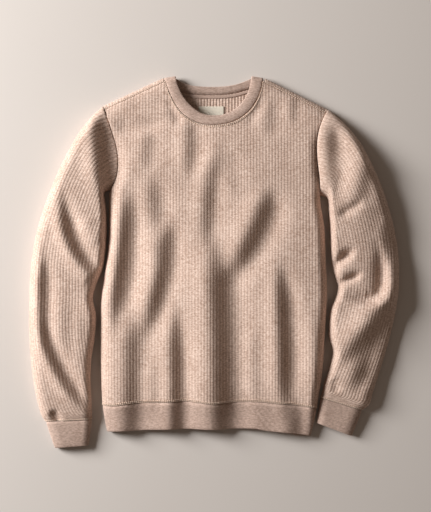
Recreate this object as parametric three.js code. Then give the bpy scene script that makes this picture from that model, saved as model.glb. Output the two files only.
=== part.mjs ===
// Crewneck sweatshirt laid flat, face up: millimetres, neck towards +Y, +Z up, floor at Z = 0.
import * as THREE from 'three';

// Cloth and seams
const WALL = 2.6;
const BAND_WALL = 2.9;
const GAP = 0.3;
const RIB_RISE = 0.9;

// Shape of the folded edges and of the air inside
const FOLD_R = 9;
const CUFF_R = 7;
const SIDE_RUN = 27;
const SHOULDER_RUN = 34;
const UNDERARM_RUN = 30;
const OUTER_RUN = 22;
const SEAM_Z = 22;
const CLIMB = 22;
const SHOULDER_LAP = 6.6;

// Resolution
const FRONT_RIBS = 56;
const SLEEVE_RIBS = 18;
const SLEEVE_ROWS = 21;

// Rows of the body from hem seam to shoulder, as shares of that length
const LOW_ROWS = 11;
const UNDERARM_LEVEL = 0.724;
const FRONT_LEVELS = [
  ...Array.from({ length: LOW_ROWS }, (_, j) => (0.655 * j) / (LOW_ROWS - 1)),
  0.686, 0.705, UNDERARM_LEVEL, 0.732, 0.745, 0.765, 0.8, 0.84, 0.88, 0.92, 0.955, 0.978, 1,
];
const PLATE_LEVELS = FRONT_LEVELS.filter((level) => level < 0.93);

// Knit colours
const BODY = { color: 0xd2b3a3, roughness: 0.92 };
const BAND = { color: 0xab8f81, roughness: 0.94 };

// Side of the body, from hem to underarm, then the armhole seam up to the shoulder: y, x
const LEFT_SIDE = [
  [-335, -208], [-308, -213.7], [-277, -218], [-230, -220.5], [-113, -221.3], [-74, -220.2],
  [-45, -216.6], [-16, -212.4], [14, -208.5], [43, -205.7], [72, -204.4], [121, -204.6],
  [140, -202.6], [154, -194.2], [170, -189], [189, -187], [209, -187.8], [228, -191.3],
  [248, -197], [267, -203], [285, -209.6], [299, -215], [304.2, -217.6],
];
const RIGHT_SIDE = [
  [-343, 187], [-318, 193.8], [-289, 199.7], [-259, 204.6], [-230, 209.4], [-201, 212.4],
  [-142, 216.3], [-74, 220.2], [-35, 220.2], [-6, 218.2], [52, 216.3], [72, 214.7],
  [92, 211.6], [107, 208.8], [130, 207], [160, 205.3], [179, 203.2], [199, 201],
  [222, 199.9], [242, 201.2], [261, 205.3], [279, 212], [291, 218.6], [297.2, 222.6],
];
// Corner points of the folded shoulder line, x and y, with the underarm height
const LEFT_ARM = { tip: [-217.6, 304.2], neck: [-98.7, 359.8], underarm: [-202.6, 140] };
const RIGHT_ARM = { tip: [222.6, 297.2], neck: [96.9, 359.8], underarm: [207, 130.3] };

// Neckline seam and the free edge of the neckband: x, y
const NECK_FRONT = [
  [-96.3, 353.6], [-92.8, 343.2], [-88.9, 332.5], [-84, 321.8], [-78.2, 311], [-70.4, 299.3],
  [-60.6, 288.6], [-48.9, 279.8], [-35.3, 273], [-19.7, 268.5], [-1.2, 267.1], [17.4, 268.5],
  [33, 272], [47.6, 277.9], [60.3, 286.6], [71, 296.4], [79.8, 308.1], [86.6, 320.8],
  [91.5, 333.4], [94.4, 345.1], [95.2, 353.6],
];
const NECK_BACK = [
  [96, 351], [88, 345], [76, 340], [62, 336.5], [45, 331.5], [23, 328], [-2, 327], [-27, 327.5],
  [-47, 329], [-64, 332.5], [-78, 338], [-88, 344], [-96.5, 351],
];
const FREE_FRONT = [
  [-73.6, 356], [-70.4, 345.1], [-62.6, 327.6], [-51.9, 312], [-37.2, 298.3], [-20.7, 289],
  [-1.2, 286.1], [18.3, 288], [35.9, 295.4], [51.5, 308.1], [62.2, 323.7], [69, 341.2],
  [71.8, 356],
];
const FREE_BACK = [
  [71.8, 359], [58.3, 353.1], [42.7, 347.9], [21.3, 344.4], [-2.1, 343.2], [-27.5, 344],
  [-47, 346.3], [-60.6, 350.4], [-73.8, 359],
];

// Seam above the hem band and the free edge of the band: x, y
const HEM_SEAM = [
  [-222, -277], [-203, -279.8], [-180, -280.8], [-154, -276.5], [-125, -274.4], [-86, -273.4],
  [-57, -271.4], [-28, -274.2], [-2, -276.9], [21, -274.9], [50, -273], [80, -273],
  [109, -275.9], [138, -278.3], [168, -282.8], [187, -286.6], [206, -289.6],
];
const HEM_EDGE = [
  [-215, -332], [-164, -330], [-105, -327.6], [-47, -326], [2, -327.2], [50, -325.6],
  [80, -326.2], [99, -329.6], [148, -334.2], [191, -340.5],
];

// Sleeve sections from the armhole to the cuff: folded outer edge, folded inner edge, top height
const SLEEVE_COLUMNS = { outerX: 0, outerY: 1, innerX: 2, innerY: 3, top: 4 };
const LEFT_SLEEVE = [
  [-217.6, 304.2, -202.6, 140, 22], [-240, 282.8, -213.7, 136, 33], [-263.4, 253.5, -214.7, 127, 39],
  [-284.9, 216.4, -212.7, 115, 40], [-303.4, 179.4, -210.6, 99.5, 40], [-319, 142.3, -210, 80, 39],
  [-332.7, 105.3, -210, 56.5, 39], [-343.4, 70.2, -211.2, 29.2, 39], [-351.2, 37, -214.3, 5.8, 38],
  [-356.7, 1.9, -219.6, -17.6, 37], [-359.6, -33.1, -230.9, -44.9, 35],
  [-360.9, -68.2, -237.1, -72.1, 34], [-361.3, -105.3, -230.7, -107.2, 35],
  [-360.9, -148.2, -234.2, -152.1, 34], [-357.6, -191.1, -240.4, -193, 32],
  [-352.6, -234, -241.6, -234, 30], [-345.3, -273, -240, -271.1, 27],
  [-337, -301, -239.1, -297, 24], [-329, -311.5, -240, -306.6, 20],
];
const RIGHT_SLEEVE = [
  [222.6, 297.2, 207, 130.3, 22], [241.6, 281.8, 219.2, 127, 33], [261.1, 263.2, 223.7, 117, 39],
  [280.6, 239.8, 224.4, 101.4, 40], [297.2, 212.5, 225.6, 85.8, 40], [311.8, 183.3, 226.8, 70.2, 39],
  [325.5, 152.1, 227.4, 50.7, 39], [337.2, 119, 228, 29.2, 38], [346.9, 85.8, 228.9, 9.8, 37],
  [354.7, 50.7, 231.9, -11.7, 36], [359.8, 15.6, 237.7, -31.2, 35], [361.3, -19.5, 242.6, -48.8, 34],
  [360.4, -54.6, 238.7, -68.2, 34], [355.7, -89.7, 228.9, -89.7, 34], [348.9, -122.8, 225, -115, 34],
  [340.1, -157.9, 225.4, -148.2, 33], [330.3, -191.1, 232.2, -175.5, 32],
  [320.6, -222.3, 225.6, -206.7, 30], [309.9, -255.4, 216.3, -235.9, 27],
  [303.5, -278.5, 211.5, -254, 24], [289, -289, 208.8, -264.5, 20],
];
// Cuff sections: the same columns
const LEFT_CUFF = [
  [-328.6, -312.2, -239.9, -307.3, 20], [-324.5, -326, -241, -320, 19.5],
  [-318.5, -344, -243, -338, 18], [-311.2, -364.1, -245.9, -358.8, 15.5],
];
const RIGHT_CUFF = [
  [288.6, -289.7, 208.6, -265.2, 20], [284.5, -303, 207, -278, 19.5],
  [277, -321, 204, -296, 18], [268.9, -340.3, 200.7, -314.9, 15.5],
];

// Height of the body's top along its length: y, z
const BODY_TOP = [
  [-343, 17], [-328, 18], [-300, 21], [-277, 25], [-240, 30], [-150, 34], [0, 35], [120, 34],
  [190, 31], [235, 27], [270, 23], [300, 22], [362, 22],
];

// Folds: start, middle and end of the line, half width, drop from its left to its right, lift on it;
// each grows narrower towards its ends
const FOLD_COLUMNS = { x0: 0, y0: 1, x1: 2, y1: 3, x2: 4, y2: 5, width: 6, drop: 7, lift: 8 };
const BODY_FOLDS = [
  [-172, 168, -167, 40, -188, -95, 21, 14, 0],
  [-118, 175, -104, 90, -98, 10, 20, 6, 0],
  [-80, 95, -98, -20, -142, -170, 16, 11, 0],
  [-52, 285, -46, 230, -52, 150, 15, 5.5, 0],
  [20, 248, -9, 128, -10, 10, 17, 7.5, 0],
  [6, 70, 21, -150, 20, -520, 23, 17, 0],
  [114, 175, 90, 75, 46, -62, 17, 13, 0],
  [130, 25, 136, -140, 133, -300, 15, 11.5, 0],
  [-80, -80, -73, -260, -78, -520, 13, 10, 0],
  [-158, -70, -160, -230, -168, -520, 17, 8, 0],
  [146, -225, 160, -300, 158, -500, 20, 8.5, 0],
  [-122, 262, -130, 222, -134, 170, 15, 3.5, 0],
  [-210, 268, -150, 262, -84, 278, 15, 0, -4.5],
  [-190, 318, -130, 308, -78, 306, 11, 0, -3],
  [106, 320, 110, 285, 102, 235, 15, 3, 0],
  [160, 330, 154, 298, 156, 262, 11, 2.6, 0],
  [60, 262, 84, 292, 100, 322, 10, 0, -2.2],
  [-60, 262, -78, 292, -92, 322, 10, 0, -3],
  [40, 225, 28, 180, 48, 120, 16, 3.5, 0],
  [172, 150, 160, 60, 168, -40, 16, 2.5, 0],
  [82, -120, 80, -200, 84, -300, 14, 3, 0],
  [-118, -190, -116, -240, -120, -300, 12, 2.5, 0],
  [188, -80, 191, -220, 186, -430, 16, 0, 4],
];
const LEFT_SLEEVE_FOLDS = [
  [-300, 135, -278, 8, -212, -12, 10, 12, -3],
  [-262, -14, -238, -28, -208, -40, 13, 0, -9],
  [-268, 100, -240, 62, -212, 46, 18, 0, 5],
  [-332, 30, -333, -70, -330, -160, 14, 4.5, 0],
  [-336, -112, -300, -208, -236, -284, 11, 11, 0],
  [-322, -288, -314, -300, -306, -318, 9, 0, -8],
  [-232, 292, -218, 222, -214, 128, 16, 10, 0],
  [-300, 225, -274, 160, -256, 96, 16, 3.5, 0],
  [-296, -50, -286, -130, -292, -210, 16, 3, 0],
  [-350, 70, -338, 20, -324, -30, 12, 3, 0],
  [-262, -90, -254, -150, -258, -215, 12, 3, 0],
];
const RIGHT_SLEEVE_FOLDS = [
  [214, -30, 244, 2, 278, 28, 10, 0, -12],
  [230, -44, 262, -34, 290, -18, 8, 0, -9],
  [244, -58, 322, -62, 310, 62, 12, 6, -10],
  [238, 88, 264, 102, 292, 124, 9, 0, -5.5],
  [372, -50, 300, -128, 232, -218, 18, 15, 0],
  [346, -92, 314, -190, 290, -268, 20, 12, 0],
  [228, -226, 236, -240, 242, -258, 8, 0, -5],
  [224, 292, 227, 205, 225, 102, 20, 19, 0],
  [300, 215, 288, 150, 268, 100, 15, 4, 0],
  [344, 100, 334, 40, 338, -20, 14, 4, 0],
];

const clamp = (value, low, high) => Math.min(high, Math.max(low, value));
const mix = (a, b, t) => a + (b - a) * t;
const ease = (t) => clamp(t, 0, 1) ** 2 * (3 - 2 * clamp(t, 0, 1));
const quarter = (t) => Math.sqrt(1 - (1 - clamp(t, 0, 1)) ** 2);
const point = (x, y, z) => new THREE.Vector3(x, y, z);

// Smooth curve through a table's rows, one column against another
function through(rows, key, value) {
  const at = rows.map((row) => row[key]);
  const to = rows.map((row) => row[value]);
  const last = at.length - 1;
  const slope = at.map((_, i) => {
    const a = Math.max(i - 1, 0);
    const b = Math.min(i + 1, last);
    return (to[b] - to[a]) / (at[b] - at[a]);
  });
  return (q) => {
    if (q <= at[0]) return to[0];
    if (q >= at[last]) return to[last];
    let i = 0;
    while (at[i + 1] < q) i += 1;
    const span = at[i + 1] - at[i];
    const t = (q - at[i]) / span;
    const bend = slope[i] * span * t * (1 - t) ** 2 - slope[i + 1] * span * t * t * (1 - t);
    return to[i] * (1 + 2 * t) * (1 - t) ** 2 + to[i + 1] * t * t * (3 - 2 * t) + bend;
  };
}

// Height added by a table of folds: an S across each line, or a ridge or trough along it
function foldField(table) {
  const C = FOLD_COLUMNS;
  const steps = 6;
  const lines = table.map((row) => {
    const dots = [];
    for (let k = 0; k <= steps; k += 1) {
      const t = k / steps;
      const a = (1 - t) * (1 - 2 * t);
      const b = 4 * t * (1 - t);
      const c = t * (2 * t - 1);
      dots.push([
        a * row[C.x0] + b * row[C.x1] + c * row[C.x2],
        a * row[C.y0] + b * row[C.y1] + c * row[C.y2],
      ]);
    }
    return { dots, width: row[C.width], drop: row[C.drop], lift: row[C.lift] };
  });
  return (x, y) => {
    let sum = 0;
    for (const line of lines) {
      let best = Infinity;
      let side = 0;
      let along = 0;
      for (let k = 0; k < steps; k += 1) {
        const [ax, ay] = line.dots[k];
        const dx = line.dots[k + 1][0] - ax;
        const dy = line.dots[k + 1][1] - ay;
        const length = Math.hypot(dx, dy);
        const t = clamp(((x - ax) * dx + (y - ay) * dy) / length ** 2, 0, 1);
        const away = Math.hypot(x - ax - t * dx, y - ay - t * dy);
        if (away < best) {
          best = away;
          side = Math.sign((x - ax) * -dy + (y - ay) * dx);
          along = (k + t) / steps;
        }
      }
      const taper = ease(along / 0.33) * ease((1 - along) / 0.33);
      const q = best / (line.width * (0.65 + 0.35 * taper));
      const across = line.lift * Math.exp(-q * q);
      const slant = -0.5 * line.drop * side * q * Math.exp(0.5 - 0.5 * q * q);
      sum += taper * (across + slant);
    }
    return sum;
  };
}

const bodyFolds = foldField(BODY_FOLDS);
const bodyTop = through(BODY_TOP, 0, 1);
const leftEdge = through(LEFT_SIDE, 0, 1);
const rightEdge = through(RIGHT_SIDE, 0, 1);
const hemX = (s) => mix(-219, 203, s);
const hemSeamY = through(HEM_SEAM, 0, 1);
const hemEdgeY = through(HEM_EDGE, 0, 1);
const hemSeam = (s) => hemSeamY(hemX(s));
const hemEdge = (s) => hemEdgeY(hemX(s));

// Height of the folded shoulder line at x: two slopes with a level part across the neck
function shoulderLine(x) {
  const arm = x < 0 ? LEFT_ARM : RIGHT_ARM;
  const t = clamp((x - arm.neck[0]) / (arm.tip[0] - arm.neck[0]), 0, 1.2);
  return mix(arm.neck[1], arm.tip[1], t);
}

// Height of the armhole seam at y, and of the side fold below the underarm
function edgeHeight(y, arm) {
  if (y < arm.underarm[1]) return FOLD_R;
  const outer = quarter((arm.tip[1] - y) / SHOULDER_RUN);
  const inner = quarter((y - arm.underarm[1]) / UNDERARM_RUN);
  return FOLD_R + (SEAM_Z - FOLD_R) * outer * inner;
}

// Height of the body's top face at x, y
function bodyHeight(x, y, creases = bodyFolds) {
  const left = leftEdge(y);
  const right = rightEdge(y);
  const arm = x - left < right - x ? LEFT_ARM : RIGHT_ARM;
  const edge = edgeHeight(y, arm);
  const crown = quarter((shoulderLine(x) - y) / SHOULDER_RUN);
  const inside = FOLD_R + (bodyTop(y) + creases(x, y) - FOLD_R) * crown;
  const blunt = mix(0.5, 1, ease((y - arm.underarm[1]) / 45));
  const rise = (d) => (1 - (1 - clamp(d / SIDE_RUN, 0, 1)) ** 2) ** blunt;
  return edge + (inside - edge) * rise(x - left) * rise(right - x);
}

// How far the side seam has climbed round the fold at y: a quarter turn below, none at the underarm
function seamTurn(y, arm) {
  if (y > arm.underarm[1]) return 0;
  return (Math.PI / 2) * (1 - ease((y - arm.underarm[1] + CLIMB) / CLIMB));
}

// Section of the body's front across the garment at y: place at the fraction s of its length
const SECTION_STEPS = 48;
function frontSection(y, s, turnLeft, turnRight) {
  const left = leftEdge(y);
  const right = rightEdge(y);
  const xs = [];
  const run = [0];
  const flat = () => 0;
  let past = null;
  for (let k = 0; k <= SECTION_STEPS; k += 1) {
    const x = mix(left, right, (1 - Math.cos((Math.PI * k) / SECTION_STEPS)) / 2);
    const z = bodyHeight(x, y, flat);
    if (past) run.push(run[k - 1] + Math.hypot(x - past[0], z - past[1]));
    past = [x, z];
    xs.push(x);
  }
  const under = FOLD_R * turnLeft;
  const top = run[SECTION_STEPS];
  const far = FOLD_R * turnRight;
  const w = s * (under + top + far);
  if (w < under) {
    const a = turnLeft - w / FOLD_R;
    return point(left + FOLD_R * (1 - Math.cos(a)), y, FOLD_R * (1 - Math.sin(a)));
  }
  if (w > under + top) {
    const a = (w - under - top) / FOLD_R;
    return point(right - FOLD_R * (1 - Math.cos(a)), y, FOLD_R * (1 - Math.sin(a)));
  }
  const q = w - under;
  let k = 0;
  while (k < SECTION_STEPS - 1 && run[k + 1] < q) k += 1;
  const byLength = mix(xs[k], xs[k + 1], (q - run[k]) / (run[k + 1] - run[k]));
  const even = mix(left, right, s);
  const x = mix(byLength, even, ease((y - 165) / 90));
  return point(x, y, bodyHeight(x, y));
}

// Times that a corner's direction is turned along its two seams by turns
const CORNER_TURNS = 16;

// Outward directions of a grid of points, turned along the seam where an edge direction is given
function gridNormals(grid, closed, out, edges) {
  const rows = grid.length;
  const columns = grid[0].length;
  const level = (n, direction) => n.addScaledVector(direction, -n.dot(direction)).normalize();
  return grid.map((row, j) => row.map((_, i) => {
    const before = closed ? (i + columns - 1) % columns : Math.max(i - 1, 0);
    const after = closed ? (i + 1) % columns : Math.min(i + 1, columns - 1);
    const across = row[after].clone().sub(row[before]);
    const along = grid[Math.min(j + 1, rows - 1)][i].clone().sub(grid[Math.max(j - 1, 0)][i]);
    const n = across.cross(along).multiplyScalar(out).normalize();
    const seams = [];
    if (!closed && i === 0 && edges.left) seams.push(edges.left(j));
    if (!closed && i === columns - 1 && edges.right) seams.push(edges.right(j));
    if (j === 0 && edges.start) seams.push(edges.start(i));
    if (j === rows - 1 && edges.end) seams.push(edges.end(i));
    for (let k = 0; k < CORNER_TURNS; k += 1) seams.forEach((seam) => level(n, seam));
    return n;
  }));
}

// Solid wall under a grid: ribs raised outside, every few columns used inside, rims between them
function gridWall({ grid, wall, closed = false, out = 1, edges = {}, rise = () => 0, inside }) {
  const normals = gridNormals(grid, closed, out, edges);
  const rows = grid.length;
  const columns = grid[0].length;
  const places = [];
  const faces = [];
  const put = (p) => places.push(p.x, p.y, p.z) / 3 - 1;
  const back = (i, j) => {
    const drawn = j === rows - 1 && edges.draw ? edges.draw(i) : 0;
    return drawn ? edges.end(i).clone().multiplyScalar(-drawn) : point(0, 0, 0);
  };
  const outer = grid.map((row, j) => row.map((p, i) => (
    put(p.clone().addScaledVector(normals[j][i], rise(i, j)))
  )));
  const inner = grid.map((row, j) => inside.map((i) => (
    put(row[i].clone().addScaledVector(normals[j][i], -wall).add(back(i, j)))
  )));
  const face = (...ids) => {
    if (out < 0) ids.reverse();
    faces.push(ids[0], ids[1], ids[2]);
    if (ids.length === 4) faces.push(ids[0], ids[2], ids[3]);
  };
  const wrap = (list, k) => list[k % list.length];
  const spans = closed ? columns : columns - 1;
  const innerSpans = closed ? inside.length : inside.length - 1;
  for (let j = 0; j < rows - 1; j += 1) {
    for (let i = 0; i < spans; i += 1) {
      face(outer[j][i], wrap(outer[j], i + 1), wrap(outer[j + 1], i + 1), outer[j + 1][i]);
    }
    for (let k = 0; k < innerSpans; k += 1) {
      face(inner[j + 1][k], wrap(inner[j + 1], k + 1), wrap(inner[j], k + 1), inner[j][k]);
    }
    if (!closed) {
      face(outer[j][0], outer[j + 1][0], inner[j + 1][0], inner[j][0]);
      const c = columns - 1;
      const d = inside.length - 1;
      face(outer[j + 1][c], outer[j][c], inner[j][d], inner[j + 1][d]);
    }
  }
  const rim = (j, turn) => {
    const lay = (...ids) => face(...(turn ? ids.reverse() : ids));
    for (let k = 0; k < innerSpans; k += 1) {
      const first = inside[k];
      const next = k + 1 < inside.length ? inside[k + 1] : columns;
      const middle = Math.round((first + next) / 2);
      for (let i = first; i < next; i += 1) {
        const hub = i < middle ? inner[j][k] : wrap(inner[j], k + 1);
        lay(wrap(outer[j], i + 1), outer[j][i], hub);
      }
      lay(wrap(outer[j], middle), inner[j][k], wrap(inner[j], k + 1));
    }
  };
  rim(0, false);
  rim(rows - 1, true);
  return { places, faces };
}

// Solid wall under an open surface of faces that share points, with a rim round its free edges
function sheetWall({ dots, faces, wall, seams }) {
  const normals = dots.map(() => point(0, 0, 0));
  for (const f of faces) {
    const a = dots[f[0]];
    for (let k = 1; k < f.length - 1; k += 1) {
      const n = dots[f[k]].clone().sub(a).cross(dots[f[k + 1]].clone().sub(a));
      for (const id of [f[0], f[k], f[k + 1]]) normals[id].add(n);
    }
  }
  normals.forEach((n, id) => {
    n.normalize();
    for (let k = 0; k < CORNER_TURNS; k += 1) {
      for (const seam of seams.get(id) ?? []) n.addScaledVector(seam, -n.dot(seam)).normalize();
    }
  });
  const places = [];
  dots.forEach((p) => places.push(p.x, p.y, p.z));
  dots.forEach((p, id) => {
    const q = p.clone().addScaledVector(normals[id], -wall);
    places.push(q.x, q.y, q.z);
  });
  const solid = [];
  const once = new Map();
  const far = dots.length;
  for (const f of faces) {
    for (let k = 1; k < f.length - 1; k += 1) {
      solid.push(f[0], f[k], f[k + 1], far + f[0], far + f[k + 1], far + f[k]);
    }
    f.forEach((a, k) => {
      const b = f[(k + 1) % f.length];
      if (once.has(`${b} ${a}`)) once.delete(`${b} ${a}`);
      else once.set(`${a} ${b}`, [a, b]);
    });
  }
  for (const [a, b] of once.values()) {
    solid.push(b, a, far + b, a, far + a, far + b);
  }
  return { places, faces: solid };
}

function node(name, { places, faces }, look) {
  const geometry = new THREE.BufferGeometry();
  geometry.setAttribute('position', new THREE.Float32BufferAttribute(places, 3));
  geometry.setIndex(faces);
  geometry.computeVertexNormals();
  const material = new THREE.MeshStandardMaterial({ ...look, metalness: 0 });
  const mesh = new THREE.Mesh(geometry, material);
  mesh.name = name;
  return mesh;
}

const every = (count, step) => {
  const list = [];
  for (let i = 0; i < count; i += step) list.push(i);
  return list;
};

// Front panel: hem seam to shoulders and neckline, side seam to side seam round the folds
const neckFrontY = through(NECK_FRONT, 0, 1);
const lapY = (x) => shoulderLine(x) - SHOULDER_LAP;
function frontTopY(x) {
  const necked = x > NECK_FRONT[0][0] && x < NECK_FRONT[NECK_FRONT.length - 1][0];
  return necked ? Math.min(neckFrontY(x), lapY(x)) : lapY(x);
}
const FRONT_COLUMNS = 2 * FRONT_RIBS + 1;
function frontTop(s) {
  let y = 300;
  for (let k = 0; k < 40; k += 1) y = mix(y, frontTopY(mix(leftEdge(y), rightEdge(y), s)), 0.5);
  return y - GAP / 2;
}
const bodyY = (s, level) => mix(hemSeam(s) + GAP / 2, frontTop(s), level);
function frontGrid() {
  return FRONT_LEVELS.map((level) => Array.from({ length: FRONT_COLUMNS }, (_, i) => {
    const s = i / (FRONT_COLUMNS - 1);
    const y = bodyY(s, level);
    const p = frontSection(y, s, seamTurn(y, LEFT_ARM), seamTurn(y, RIGHT_ARM));
    if (i === 0 && level > UNDERARM_LEVEL) p.x += GAP / 2;
    if (i === FRONT_COLUMNS - 1 && level > UNDERARM_LEVEL) p.x -= GAP / 2;
    return p;
  }));
}
const fronts = frontGrid();
const slopeAlong = (row, i) => {
  const a = row[Math.max(i - 1, 0)];
  const b = row[Math.min(i + 1, row.length - 1)];
  return point(a.y - b.y, b.x - a.x, 0).normalize();
};
const sideways = point(1, 0, 0);
const NECK_DRAW = 1.8;
// Direction across the side seam at a level: round the fold below the underarm, level above it
function sideSeam(arm, level) {
  if (level > UNDERARM_LEVEL) return sideways;
  const turn = seamTurn(bodyY(arm === LEFT_ARM ? 0 : 1, level), arm);
  return point(Math.sign(arm.tip[0]) * Math.sin(turn), 0, Math.cos(turn));
}
const frontRise = (i, j) => {
  const last = FRONT_COLUMNS - 1;
  const end = j === 0 || j === fronts.length - 1 || i < 2 || i > last - 2;
  return i % 2 && !end ? RIB_RISE : 0;
};
const frontPanel = gridWall({
  grid: fronts,
  wall: WALL,
  rise: frontRise,
  inside: [...every(FRONT_COLUMNS - 1, 3), FRONT_COLUMNS - 1],
  edges: {
    left: (j) => sideSeam(LEFT_ARM, FRONT_LEVELS[j]),
    right: (j) => sideSeam(RIGHT_ARM, FRONT_LEVELS[j]),
    draw: (i) => (Math.abs(fronts[fronts.length - 1][i].x) < 97 ? NECK_DRAW : 0),
    start: (i) => slopeAlong(fronts[0], i),
    end: (i) => slopeAlong(fronts[fronts.length - 1], i),
  },
});

// Back panel: flat plate on the floor, wrapped over both shoulders and round both underarms
const neckBackY = through([...NECK_BACK].reverse(), 0, 1);
const NECK_COLUMNS = 10;
const SHOULDER_COLUMNS = 4;
const BACK_COLUMNS = NECK_COLUMNS + 2 * SHOULDER_COLUMNS;
const UNDERARM_PARTS = 3;
const SHOULDER_TURNS = [30, 60, 90].map((degrees) => (degrees * Math.PI) / 180);
const SHOULDER_LAPS = [1.6, 3.8, SHOULDER_LAP - GAP / 2];
const edgeOf = (arm) => (arm === LEFT_ARM ? leftEdge : rightEdge);
const levelY = (arm, level) => bodyY(arm === LEFT_ARM ? 0 : 1, level);

// Drop of the seam under the fold just above the underarm, from the fold's side to the floor
function underHeight(y, arm) {
  return FOLD_R * (1 - quarter((y - arm.underarm[1]) / FOLD_R));
}
function backEdge(y, arm) {
  const inset = y < arm.underarm[1] ? FOLD_R : underHeight(y, arm);
  const gap = y < arm.underarm[1] - CLIMB ? GAP : GAP / 2;
  return edgeOf(arm)(y) - Math.sign(arm.tip[0]) * (inset + gap);
}
function backShare(i) {
  const neck = (NECK_COLUMNS / BACK_COLUMNS) * 0.98;
  const side = (1 - neck) / 2;
  if (i < SHOULDER_COLUMNS) return (side * i) / SHOULDER_COLUMNS;
  if (i > BACK_COLUMNS - SHOULDER_COLUMNS) return 1 - (side * (BACK_COLUMNS - i)) / SHOULDER_COLUMNS;
  return side + (neck * (i - SHOULDER_COLUMNS)) / NECK_COLUMNS;
}
// Where a line a given distance below the shoulder line meets the armhole seam
const TIP_GAP = 2.3 * GAP;
function atArmhole(arm, below) {
  let x = arm.tip[0];
  for (let k = 0; k < 30; k += 1) {
    const y = Math.min(shoulderLine(x) - below, arm.tip[1]);
    x = mix(x, edgeOf(arm)(y) - Math.sign(arm.tip[0]) * TIP_GAP, 0.5);
  }
  return x;
}
// Last row of the plate: the foot of both shoulder folds with the back neckline between them
function backTopRow() {
  const corner = (arm) => {
    const x = atArmhole(arm, FOLD_R);
    return point(x, shoulderLine(x) - FOLD_R, 0);
  };
  const neck = (arm) => arm.neck[0] - Math.sign(arm.neck[0]) * 0.6;
  const left = corner(LEFT_ARM);
  const right = corner(RIGHT_ARM);
  return Array.from({ length: BACK_COLUMNS + 1 }, (_, i) => {
    if (i < SHOULDER_COLUMNS) {
      const x = mix(left.x, neck(LEFT_ARM), i / SHOULDER_COLUMNS);
      return point(x, shoulderLine(x) - FOLD_R, 0);
    }
    if (i > BACK_COLUMNS - SHOULDER_COLUMNS) {
      const x = mix(right.x, neck(RIGHT_ARM), (BACK_COLUMNS - i) / SHOULDER_COLUMNS);
      return point(x, shoulderLine(x) - FOLD_R, 0);
    }
    const x = mix(neck(LEFT_ARM), neck(RIGHT_ARM), (i - SHOULDER_COLUMNS) / NECK_COLUMNS);
    const end = i === SHOULDER_COLUMNS || i === BACK_COLUMNS - SHOULDER_COLUMNS;
    return point(x, end ? shoulderLine(x) - FOLD_R : neckBackY(x) - GAP / 2, 0);
  });
}
const backTop = backTopRow();
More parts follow.
